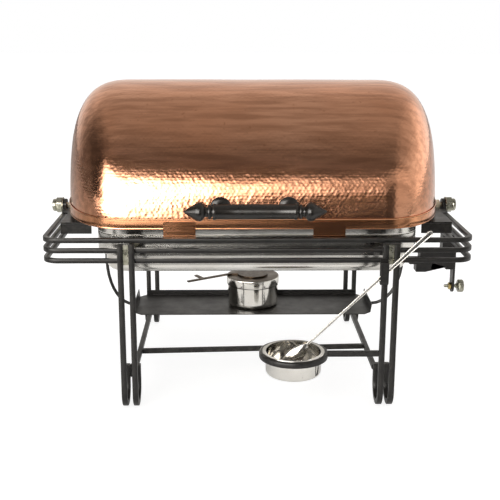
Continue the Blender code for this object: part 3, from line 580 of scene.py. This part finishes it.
def make_band():
    """The smooth strip round the dome's lower edge, with a rolled bead along its top and bottom."""
    low, high = box_of("lid_rim_band")
    bottom = low.z - RIM_Z
    top = high.z - RIM_Z
    bead = 0.0011
    outside = [(0.0017, bottom + bead * 2.2), (0.00175, (bottom + top) / 2), (0.0016, top - bead * 2.4)]
    upper = [(0.0009 + bead * math.sin(a), top - bead - bead * math.cos(a))
             for a in np.radians((40, 75, 110, 145, 175))]
    lower = [(0.0009 + bead * math.sin(a), bottom + bead - bead * math.cos(a))
             for a in np.radians((5, 35, 70, 105, 140))]
    inner = [(0.0006, top - 0.0006), (0.0006, (top + bottom) / 2), (0.0006, bottom + 0.0006)]
    section = lower + outside + upper + inner
    rings = []
    for offset, height in section:
        outline = lid_outline(height)
        ahead = np.roll(outline, -1, axis=0) - np.roll(outline, 1, axis=0)
        out = np.stack([ahead[:, 1], -ahead[:, 0]], axis=1)
        out /= np.linalg.norm(out, axis=1, keepdims=True)
        ring = outline + out * offset
        rings.append([(LID_X + px, py, RIM_Z + height) for px, py in ring])
    points = [point for ring in rings for point in ring]
    faces = grid_faces(len(rings), len(rings[0]), wrap=True, close=True)
    face_outward(show("lid_band", points, faces, BAND, "lid", ["lid_rim_band"], sharp=50))


def make_tabs():
    """Two copper rests riveted to the front of the band, one on each side of the handle."""
    grip_low, grip_high = box_of("handle_grip")
    middle = (grip_low.x + grip_high.x) / 2
    half = 0.026
    apart = 0.120
    thickness = 0.0014
    stand_off = 0.0022          # from the dome to a tab's outer face
    low_z = RIM_Z - 0.0140
    high_z = RIM_Z + 0.0120
    for side, sign in SIDES:
        x = middle + sign * apart
        outline = rounded_rectangle(half, (high_z - low_z) / 2, 0.0025, 6, (x, (low_z + high_z) / 2))
        points = [(px, dome_face_y(max(pz, RIM_Z)) - stand_off, pz) for px, pz in outline]
        count = len(points)
        points += [(px, py + thickness, pz) for px, py, pz in points]
        faces = [tuple(range(count)), tuple(reversed(range(count, 2 * count)))]
        faces += [(i, (i + 1) % count, (i + 1) % count + count, i + count) for i in range(count)]
        face_outward(show("lid_tab_" + side, points, faces, BAND, "lid", [], sharp=40))


def make_grip():
    """A turned barrel with a collar, a bead and an acorn at each end."""
    low, high = box_of("handle_grip")
    centre = (low + high) / 2
    half_length = (high.x - low.x) / 2
    swell = ((0.0004, 0.0), (0.0022, 0.0022), (0.0060, 0.0080), (0.0104, 0.0152), (0.0138, 0.0212),
             (0.0149, 0.0257), (0.0142, 0.0294))
    acorn = curve_through([(radius, half_length - back) for radius, back in swell])
    neck = [(0.0112, 0.0800), (0.0086, 0.0780), (0.0080, 0.0758)]
    bead = curve_through([(0.0080, 0.0748), (0.0108, 0.0738), (0.0119, 0.0712),
                          (0.0106, 0.0688), (0.0084, 0.0678)], 4)
    collar = [(0.0084, 0.0664), (0.0122, 0.0660), (0.0127, 0.0650), (0.0127, 0.0626),
              (0.0124, 0.0616), (0.0119, 0.0606)]
    half = [(0.0, half_length)] + acorn + neck + bead + collar
    profile = half + [(0.0119, 0.03), (0.0120, 0.0), (0.0119, -0.03)] + [(r, -h) for r, h in reversed(half)]
    turn = Matrix.Rotation(math.pi / 2, 4, "Y")
    turned("handle_grip_turned", profile, turn, centre, BLACK, "lid", ["handle_grip"], 64)


def make_roses():
    """The round discs on posts that hold the grip, each riveted through the dome."""
    for side, _ in SIDES:
        low, high = box_of("handle_post_" + side)
        middle = (low + high) / 2
        radius = (high.x - low.x) / 2
        face = dome_face_y(middle.z) - 0.0004
        stem = face - low.y
        inside = high.y - low.y
        stop = stem - 0.0020
        rose = [(0.0, 0.0), (0.0062, 0.0), (0.0062, stop - 0.0090), (0.0080, stop - 0.0072),
                (0.0122, stop - 0.0056), (radius - 0.0014, stop - 0.0040), (radius - 0.0003, stop - 0.0028),
                (radius, stop - 0.0014), (radius - 0.0004, stop), (0.0028, stop), (0.0028, inside - 0.0034),
                (0.0054, inside - 0.0032), (0.0052, inside - 0.0018), (0.0036, inside - 0.0005),
                (0.0, inside)]
        turned("handle_rose_" + side, rose, Matrix.Rotation(-math.pi / 2, 4, "X"),
               (middle.x, low.y, middle.z), BLACK, "lid", ["handle_post_" + side], 48)


# -------------------------------- stand
def make_rails():
    corner = 0.027
    for name in ("top_rail", "middle_rail", "lower_rail"):
        low, high = box_of(name)
        size = high.z - low.z
        z = (low.z + high.z) / 2
        half_x = high.x - size / 2
        half_y = high.y - size / 2
        outline = [Vector((x, y, z)) for x, y in rounded_rectangle(half_x, half_y, corner - size / 2, 12)]
        path = []
        for point, after in zip(outline, outline[1:] + outline[:1]):
            path += spread(point, after, 0.010)
        bar(name + "_bar", path, (0, 0, 1), size, [name], closed=True)


def make_legs():
    """Each bar runs down from the rails and turns up again in a J at the floor."""
    tip_z = 0.0615
    spacing = 0.009
    for end, sign in (("front", -1), ("rear", 1)):
        for side, _ in SIDES:
            for row in ("outer", "inner"):
                name = "leg_" + end + "_" + side + "_" + row
                low, high = box_of(name)
                size = high.x - low.x
                x = (low.x + high.x) / 2
                line_y = sign * (max(abs(low.y), abs(high.y)) - size / 2)
                tip_y = sign * (min(abs(low.y), abs(high.y)) + size / 2)
                radius = abs(line_y - tip_y) / 2
                middle = (line_y + tip_y) / 2
                centre_z = low.z + size / 2 + radius
                path = spread((x, line_y, high.z), (x, line_y, centre_z), spacing)
                path += [Vector((x, middle + sign * radius * math.cos(a), centre_z - radius * math.sin(a)))
                         for a in np.radians(np.linspace(0, 180, 25))]
                path += spread((x, tip_y, centre_z), (x, tip_y, tip_z), spacing)[1:]
                path.append(Vector((x, tip_y, tip_z)))
                bar(name + "_bar", path, (1, 0, 0), size, [name])


def make_cup_holder():
    """The ring of square bar that the cup hangs in, and the arm that carries it."""
    low, high = box_of("cup_holder")
    size = high.z - low.z
    z = (low.z + high.z) / 2
    radius = (high.y - low.y - size) / 2
    centre = (low.x + radius + size / 2, (low.y + high.y) / 2)
    ring = [(x, y, z) for x, y in arc(centre, radius, 0, 360, 72)[:-1]]
    bar("cup_ring", ring, (0, 0, 1), size, ["cup_holder"], closed=True)
    start = Vector((centre[0] + radius + size * 0.3, centre[1], z))
    stop = Vector((high.x, centre[1], z))
    bar("cup_arm", spread(start, stop, 0.008) + [stop], (0, 0, 1), size * 0.97, [])


def on_sides(*names):
    return [name + "_" + side for name in names for side, _ in SIDES]


def finish_cad_nodes():
    """CAD pieces that keep their shape get broken edges and their own finish."""
    finishes = {
        IRON: ["cross_stretcher", "fuel_tray", "spoon_hook", "stop_bracket", "stop_strap"]
        + on_sides("foot_tie_front", "foot_tie_rear", "side_stretcher", "pivot_plate", "plate_apron",
                   "pivot_upright", "ring_hanger", "tray_arm"),
        PAN_STEEL: ["pan_ring"],
        TURNED_STEEL: on_sides("lid_ear"),
        ZINC: on_sides("leg_tie"),
        SCORCHED: ["damper"],
        CAN: ["fuel_can"],
    }
    for material, names in finishes.items():
        for name in names:
            node = NODES[name]
            node.data.materials.clear()
            node.data.materials.append(material)
            for attribute in [a for a in node.data.attributes if a.name == "custom_normal"]:
                node.data.attributes.remove(attribute)
            node.data.shade_smooth()
            weld = node.modifiers.new("Weld", "WELD")
            weld.merge_threshold = 0.00001
            soften(node, 0.00045 if material is IRON else 0.0002)


# -------------------------------- pans
def pan_rings(floor_z, fillet, half_x, half_y, corner, stages):
    """Points round the outside of a pan, ring by ring from the floor up.

    Each stage is a half length, half width, corner radius and height.
    """
    steps = 8
    rings = []
    for step in range(steps + 1):
        angle = math.pi / 2 * step / steps
        inset = fillet * (1 - math.sin(angle))
        height = floor_z + fillet * (1 - math.cos(angle))
        rings.append((half_x - inset, half_y - inset, corner - inset, height))
    rings += stages
    return [[(x, y, z) for x, y in rounded_rectangle(hx, hy, r, 12)] for hx, hy, r, z in rings]


def pan(body, rows):
    """A drawn steel pan, named after its body, from its outside rings."""
    columns = len(rows[0])
    points = [point for row in rows for point in row]
    faces = grid_faces(len(rows), columns, wrap=True)
    shrink = 0.55               # of the ring that divides the floor
    start = len(points)
    points += [(x * shrink, y * shrink, z) for x, y, z in rows[0]]
    for column in range(columns):
        after = (column + 1) % columns
        faces.append((start + column, start + after, after, column))
    faces.append(tuple(start + column for column in reversed(range(columns))))
    sheet = 0.001
    thicken(show(body + "_drawn", points, faces, PAN_STEEL, body, [body], sharp=55), sheet, -1)


def make_water_pan():
    """A deep pan with a ledge round its mouth and an upturned rim outside the ledge."""
    low, high = box_of("water_pan")
    rim_x, rim_y, rim_r = high.x, high.y, 0.050
    body_x = rim_x - 0.0100
    body_y = rim_y - 0.0345
    corner = 0.040
    ledge_z = high.z - 0.0130
    bend = 0.0022               # radius of the bends on both sides of the ledge
    stages = [(body_x, body_y, corner, ledge_z - bend)]
    for angle in np.radians((30, 60, 90)):
        step = bend * (1 - math.cos(angle))
        height = ledge_z - bend + bend * math.sin(angle)
        stages.append((body_x + step, body_y + step, corner + step, height))
    for angle in np.radians((0, 30, 60, 90)):
        step = bend * math.sin(angle)
        stages.append((rim_x - bend + step, rim_y - bend + step, rim_r - bend + step,
                       ledge_z + bend * (1 - math.cos(angle))))
    for rolled, drop in ((0.0, 0.0016), (0.0004, 0.0006), (0.0002, 0.0)):
        stages.append((rim_x + rolled, rim_y + rolled, rim_r + rolled, high.z - drop))
    pan("water_pan", pan_rings(low.z, 0.014, body_x, body_y, corner, stages))


def make_food_pan():
    """A pan that hangs by a flat flange on the water pan's ledge."""
    low, high = box_of("food_pan")
    flange = high.z
    mouth_x = high.x - 0.0125
    mouth_y = high.y - 0.0125
    corner = 0.034
    stages = [(mouth_x + turned_out, mouth_y + turned_out, corner + turned_out, flange - drop)
              for turned_out, drop in ((0.0, 0.0014), (0.0006, 0.0004), (0.0017, 0.0))]
    stages.append((high.x, high.y, 0.045, flange))
    pan("food_pan", pan_rings(low.z, 0.012, mouth_x - 0.004, mouth_y - 0.004, corner - 0.003, stages))


# -------------------------------- burner
def round_box(node):
    """Where a round upright node stands, its radius, and its lowest and highest corners."""
    low, high = box_of(node)
    centre = Vector(((low.x + high.x) / 2, (low.y + high.y) / 2, 0))
    return centre, (high.x - low.x) / 2, low, high


def make_burner_cup():
    """A spun cup, rounded at the bottom and open at the top, that holds the fuel can."""
    centre, radius, low, high = round_box("burner_holder")
    wall = 0.001
    fillet = 0.006
    outside = [(radius, high.z), (radius, low.z + 0.009)]
    outside += [(radius - fillet + fillet * math.cos(a), low.z + fillet - fillet * math.sin(a))
                for a in np.radians(np.linspace(10, 90, 7))]
    inside = [(r - wall, z + wall) for r, z in reversed(outside[2:])] + [(radius - wall, high.z)]
    holder = [(0.0, low.z)] + outside[::-1] + inside[::-1] + [(0.0, low.z + wall)]
    turned("burner_cup", holder, Matrix.Identity(4), centre, TURNED_STEEL, "burner", ["burner_holder"],
           96)


def make_burner_cap():
    """A flat cap with a round flame opening and a short skirt."""
    centre, radius, low, high = round_box("burner_cap")
    opening = 0.024
    roll = 0.0022
    corner = [(radius - roll + roll * math.sin(a), high.z - roll + roll * math.cos(a))
              for a in np.radians(np.linspace(0, 90, 7))]
    cap = [(opening, high.z - 0.0002), (opening + 0.001, high.z)] + corner
    cap += [(radius, low.z + 0.0022), (radius - 0.0002, low.z + 0.0010), (radius - 0.0010, low.z),
            (radius - 0.0058, low.z), (radius - 0.0058, low.z + 0.0018), (radius - 0.0014, low.z + 0.0022),
            (radius - 0.0014, high.z - 0.0030), (radius - 0.0030, high.z - 0.0014),
            (opening, high.z - 0.0012)]
    turned("burner_lid", cap, Matrix.Identity(4), centre, HEATED_STEEL, "burner", ["burner_cap"],
           96)


# -------------------------------- cup and spoon
def make_cup():
    centre, rim, low, high = round_box("sauce_cup")
    radius = rim - 0.0055
    wall = 0.001
    turn = 0.0065
    base = [(radius - turn + turn * math.sin(a), low.z + turn - turn * math.cos(a))
            for a in np.radians(np.linspace(0, 90, 9))]
    lip = [(radius + 0.0003, high.z - 0.0022), (radius + 0.0012, high.z - 0.0010),
           (rim - 0.0006, high.z - 0.0010), (rim, high.z - 0.0006), (rim - 0.0003, high.z),
           (radius + 0.0010, high.z), (radius - 0.0004, high.z - 0.0006)]
    inside = [(r - wall, z + wall * 0.9) for r, z in reversed(base)]
    profile = [(0.0, low.z)] + base + lip + inside + [(0.0, low.z + wall)]
    turned("sauce_cup_spun", profile, Matrix.Identity(4), centre, TURNED_STEEL, "cup", ["sauce_cup"],
           96)


def make_spoon():
    """A serving spoon: a deep oval bowl, a narrow neck and a handle that widens to a round end."""
    tip = Vector((0.0390, -0.2405, 0.0755))
    end = Vector((0.2720, -0.2530, 0.3070))
    along = (end - tip).normalized()
    across = along.cross(Vector((0, 1, 0))).normalized()
    face = across.cross(along).normalized()
    length = (end - tip).length
    bowl = 0.056
    bowl_half = 0.0130
    bowl_depth = 0.0062
    neck = 0.065                # where the handle starts to widen
    round_end = 0.0048
    thickness = 0.0014
    across_count = 13
    stations = np.concatenate([bowl * (1 - np.cos(np.linspace(0.12, math.pi * 0.93, 34))) / 2,
                               np.linspace(bowl * 1.03, length - 0.006, 60),
                               length - round_end * (1 - np.sin(np.linspace(0.2, math.pi / 2, 7)))])
    rows = []
    for s in stations:
        swell = max(0.0, 1 - ((s - bowl / 2) / (bowl / 2)) ** 2)
        handle = 0.0020 + 0.0026 * max(0.0, (s - neck) / (length - neck)) ** 2
        left = length - s
        if left < round_end:
            handle *= math.sqrt(max(0.05, 1 - (1 - left / round_end) ** 2))
        width = max(bowl_half * math.sqrt(swell), handle if s > bowl / 2 else 0.0)
        dish = bowl_depth * swell
        crown = 0.12 * width * min(1.0, max(0.0, (s - bowl) / 0.03))
        row = []
        for t in np.linspace(-1, 1, across_count):
            lift = crown * (1 - t * t) - dish * (1 - t * t)
            row.append(tip + along * s + across * (width * t) + face * lift)
        rows.append(row)
    points = [point for row in rows for point in row]
    faces = grid_faces(len(rows), across_count)
    spoon = show("spoon_forged", points, faces, SPOON_STEEL, "spoon", ["serving_spoon"],
                 sharp=60)
    thicken(spoon, thickness, 0)
    smooth = spoon.modifiers.new("Round", "SUBSURF")
    smooth.levels = 1
    smooth.render_levels = 1


# -------------------------------- fasteners
def six_sided(low, high):
    """Makes the part between two heights six-sided."""
    def shape(angle, radius, height):
        if low <= height <= high:
            turn = (angle % (math.pi / 3)) - math.pi / 6
            return min(radius, radius * math.cos(math.pi / 6) / math.cos(turn) * 1.04)
        return radius
    return shape


def threaded(radius, cut, start, stop):
    """A screw thread's outline, as ridges one pitch apart."""
    pitch = 0.0010
    ridges = []
    for turn in range(int((stop - start) / pitch)):
        at = start + turn * pitch
        ridges += [(radius - cut, at), (radius, at + pitch * 0.5)]
    return ridges + [(radius, stop)]


def level_axis(node):
    """Where a node's left-to-right axis crosses the middle of the stand."""
    low, high = box_of(node)
    return Vector((0, (low.y + high.y) / 2, (low.z + high.z) / 2))


def reach_of(node):
    """How far from the middle of the stand a node at one side starts and ends."""
    low, high = box_of(node)
    return sorted((abs(low.x), abs(high.x)))


def make_pivots():
    """On each side, a nut with its washer, the bolt that the lid turns on, and a spacer."""
    for side, sign in SIDES:
        turn = Matrix.Rotation(sign * math.pi / 2, 4, "Y")
        start, _ = reach_of("pivot_nut_" + side)
        centre = level_axis("pivot_nut_" + side)
        hole = 0.0044
        washer, hexagon, collar = 0.0144, 0.0139, 0.0112
        profile = [(hole, 0.0), (washer - 0.0004, 0.0), (washer, 0.0004), (washer, 0.0016),
                   (washer - 0.0004, 0.0020), (hexagon - 0.0012, 0.0021), (hexagon, 0.0030),
                   (hexagon, 0.0118), (hexagon - 0.0012, 0.0127), (collar - 0.0003, 0.0130),
                   (collar, 0.0136), (collar, 0.0172), (collar - 0.0008, 0.0187), (collar - 0.0028, 0.0195),
                   (hole + 0.0003, 0.0195), (hole, 0.0191)]
        profile = [(radius, start + height) for radius, height in profile]
        turned("pivot_locknut_" + side, profile, turn, centre, ZINC, "frame", ["pivot_nut_" + side],
               60, six_sided(start + 0.00205, start + 0.0129))
        inner, outer = reach_of("pivot_bolt_" + side)
        thread = threaded(0.0040, 0.0003, inner + 0.030, outer - 0.0006)
        bolt = [(0.0, inner), (0.0078, inner), (0.0085, inner + 0.0008), (0.0085, inner + 0.0044),
                (0.0080, inner + 0.0050), (0.0040, inner + 0.0050)]
        bolt += thread + [(0.0034, outer), (0.0, outer)]
        turned("pivot_bolt_turned_" + side, bolt, turn, centre, ZINC, "frame", ["pivot_bolt_" + side],
               40, six_sided(inner - 0.001, inner + 0.00505))
        near, far = reach_of("pivot_spacer_" + side)
        low, high = box_of("pivot_spacer_" + side)
        rim = (high.z - low.z) / 2
        neck = 0.0050
        shoulder = RAIL_INNER_X - 0.0003
        spacer = [(hole, near), (rim - 0.0006, near), (rim, near + 0.0006),
                  (rim - 0.0004, (near + shoulder) / 2), (rim, shoulder - 0.0006), (rim - 0.0006, shoulder),
                  (neck, shoulder), (neck, far), (hole, far)]
        turned("pivot_spacer_moulded_" + side, spacer, turn, centre, NYLON, "frame",
               ["pivot_spacer_" + side], 48)


def make_thumbscrew():
    """The threaded shank, its knurled knob, and the brass nut that it runs through."""
    centre = level_axis("screw_shank")
    turn = Matrix.Rotation(math.pi / 2, 4, "Y")
    low, high = box_of("screw_shank")
    shank = [(0.0, low.x), (0.0021, low.x), (0.0026, low.x + 0.0005)]
    shank += threaded(0.0030, 0.0004, low.x + 0.0010, high.x - 0.0020) + [(0.0030, high.x), (0.0, high.x)]
    turned("thumbscrew_shank", shank, turn, centre, ZINC, "screw_shank", ["screw_shank"], 40)

    low, high = box_of("screw_knob")
    rim = (high.z - low.z) / 2
    knob = [(0.0, low.x), (0.0046, low.x), (0.0050, low.x + 0.0004), (0.0050, low.x + 0.0018),
            (0.0058, low.x + 0.0026), (rim - 0.0018, low.x + 0.0030), (rim - 0.0006, low.x + 0.0036),
            (rim, low.x + 0.0046), (rim, high.x - 0.0022), (rim - 0.0006, high.x - 0.0010),
            (rim - 0.0016, high.x - 0.0002), (rim - 0.0028, high.x), (rim - 0.0038, high.x - 0.0007),
            (0.0, high.x - 0.0009)]

    def knurl(angle, radius, height):
        if radius < rim - 0.0001:
            return radius
        return radius - 0.0005 * (0.5 + 0.5 * math.cos(24 * angle))

    turned("thumbscrew_knob", knob, turn, centre, ZINC, "screw_knob", ["screw_knob"], 192, knurl)

    low, high = box_of("strap_nut")
    corner = max(high.z - low.z, high.y - low.y) / 2
    nut = [(0.0037, low.x), (corner - 0.0009, low.x), (corner, low.x + 0.0007), (corner, high.x - 0.0007),
           (corner - 0.0009, high.x), (0.0037, high.x)]
    turned("strap_nut_cut", nut, turn, centre, BRASS, "frame", ["strap_nut"], 60,
           six_sided(low.x, high.x))


# -------------------------------- studio
class Studio(Graph):
    """The world's node tree, where every direction has its own brightness."""

    def __init__(self):
        world = bpy.data.worlds.new("studio")
        bpy.context.scene.world = world
        world.use_nodes = True
        self.tree = world.node_tree
        self.shader = self.tree.nodes["Background"]
        self.place = self.add("ShaderNodeTexCoord").outputs["Generated"]


def make_floor():
    """A plain pale floor that runs out of the camera's view.

    In what the metal mirrors, it glows round the dish but not on the far left, and further forward it is
    painted dark as shade.
    """
    mesh = bpy.data.meshes.new("studio_floor")
    half = 14.0
    front = -1.25
    corners = [(-half, front, 0), (half, front, 0), (half, half, 0), (-half, half, 0)]
    mesh.from_pydata(corners, [], [(0, 1, 2, 3)])
    floor = bpy.data.objects.new("studio_floor", mesh)
    floor.location.z = cad_low.z - 0.0004
    bpy.context.scene.collection.objects.link(floor)
    g = Graph("floor_paper")
    mottle = g.span(g.noise(1.5, 2.0), 0.3, 0.7, 0.0, 1.0)
    tone = g.mix(mottle, (0.72, 0.72, 0.72), (0.76, 0.76, 0.75))
    parts = g.add("ShaderNodeSeparateXYZ")
    g.feed(parts.inputs[0], g.place)
    near = g.span(parts.outputs[1], -0.85, -0.60)
    # painted shade: further forward the floor turns nearly black for everything but the camera
    tone = g.mix(near, (0.05, 0.05, 0.05), tone)
    seen = g.add("ShaderNodeLightPath").outputs["Is Camera Ray"]
    mirrored = g.times(g.add("ShaderNodeLightPath").outputs["Is Glossy Ray"], near)
    mirrored = g.times(mirrored, g.span(parts.outputs[0], -1.1, -0.6))
    glow = g.math("ADD", g.times(seen, 0.86), g.times(mirrored, 0.30))
    g.set(Base_Color=g.mix(seen, tone, (0.30, 0.30, 0.30)), Roughness=0.9, Emission_Color=(1, 1, 1, 1),
          Emission_Strength=glow)
    mesh.materials.append(g.material)


def make_world():
    """White behind the dish, and even grey light from all round.

    What the metal mirrors is a dim studio with a bright window in front on the left, a long lamp above
    the camera, a pale wall on the right, a dark far left and pale walls behind.
    """
    g = Studio()
    parts = g.add("ShaderNodeSeparateXYZ")
    g.feed(parts.inputs[0], g.place)
    x, y, z = parts.outputs
    front = g.times(y, -1.0)
    rise = g.times(g.math("ARCTAN2", z, front), 180 / math.pi)
    sky = ((0.0, 0.06), (0.22, 0.15), (0.30, 0.18), (0.37, 0.27), (0.45, 0.37), (0.54, 0.40), (0.67, 0.46),
           (0.74, 0.68), (0.81, 0.74), (1.0, 0.95))
    level = g.ramp(g.span(rise, 0, 180), sky)
    fading = ((0.0, 1.0), (0.50, 0.85), (0.70, 0.40), (0.76, 0.26), (0.84, 0.13), (1.0, 0.08))
    fall = g.ramp(g.span(x, -0.20, 0.20), fading)
    tilted = g.math("ADD", rise, g.times(x, -25.0))
    lamp = g.times(g.times(g.between(tilted, 19, 25, 6), fall), 4.4)
    window = g.times(g.between(x, -0.91, -0.085, 0.05), g.between(z, 0.0, 0.44, 0.14))
    window = g.times(window, g.span(front, 0.30, 0.50, 0.0, 8.0))
    dark_left = g.times(g.span(x, -0.55, -0.85), g.span(y, 1.0, 0.85))
    level = g.times(level, g.span(dark_left, 0, 1, 1.0, 0.20))
    level = g.math("ADD", level, g.math("ADD", lamp, window))
    wall = g.times(g.span(x, 0.50, 0.66), g.span(z, 0.30, 0.60, 0.55, 0.16))
    level = g.math("ADD", level, wall)
    warm = g.add("ShaderNodeCombineXYZ")
    for socket, share in zip(warm.inputs, (1.0, 0.965, 0.92)):
        g.feed(socket, g.times(level, share))
    rays = g.add("ShaderNodeLightPath")
    even = g.mix(rays.outputs["Is Glossy Ray"], (0.42, 0.41, 0.40), warm.outputs[0])
    g.feed(g.shader.inputs["Color"], g.mix(rays.outputs["Is Camera Ray"], even, (1, 1, 1)))


def soft_light(name, spot, target, width, height, power):
    """A panel that lights the dish but is not mirrored in it."""
    data = bpy.data.lights.new(name, "AREA")
    data.shape = "RECTANGLE"
    data.size = width
    data.size_y = height
    data.energy = power
    data.color = (1.0, 0.97, 0.93)
    light = bpy.data.objects.new(name, data)
    light.location = Vector(spot) + CENTRE
    light.rotation_euler = (Vector(target) - Vector(spot)).to_track_quat("-Z", "Y").to_euler()
    light.visible_glossy = False
    bpy.context.scene.collection.objects.link(light)


def make_lights():
    middle = (0, 0, 0.30)
    soft_light("panel_left", (-1.2, -1.9, 1.3), middle, 1.0, 1.2, 18)
    soft_light("panel_overhead", (0.1, 0.2, 2.4), middle, 2.4, 1.6, 22)
    soft_light("panel_right", (2.1, -0.6, 0.95), middle, 1.7, 1.5, 12)


def make_camera():
    """Stands in front of the dish, a little above the lid, and looks slightly down."""
    pitch = math.radians(14.462)
    yaw = math.radians(1.274)
    roll = math.radians(0.195)
    data = bpy.data.cameras.new("camera")
    data.lens = 65.68
    data.sensor_width = 36.0
    camera = bpy.data.objects.new("camera", data)
    forward = Vector((math.sin(yaw) * math.cos(pitch), math.cos(yaw) * math.cos(pitch), -math.sin(pitch)))
    right = Vector((math.cos(yaw), -math.sin(yaw), 0))
    up = right.cross(forward)
    tilted_right = right * math.cos(roll) + up * math.sin(roll)
    tilted_up = up * math.cos(roll) - right * math.sin(roll)
    turn = Matrix((tilted_right, tilted_up, -forward)).transposed()
    spot = CENTRE + Vector((-0.04553, -1.64246, 0.636245))
    camera.matrix_world = Matrix.Translation(spot) @ turn.to_4x4()
    bpy.context.scene.collection.objects.link(camera)
    bpy.context.scene.camera = camera


make_dome()
make_band()
make_tabs()
make_grip()
make_roses()
make_rails()
make_legs()
make_cup_holder()
make_water_pan()
make_food_pan()
make_burner_cup()
make_burner_cap()
make_cup()
make_spoon()
make_pivots()
make_thumbscrew()
finish_cad_nodes()
make_floor()
make_world()
make_lights()
make_camera()
bpy.context.scene.view_settings.view_transform = "Standard"
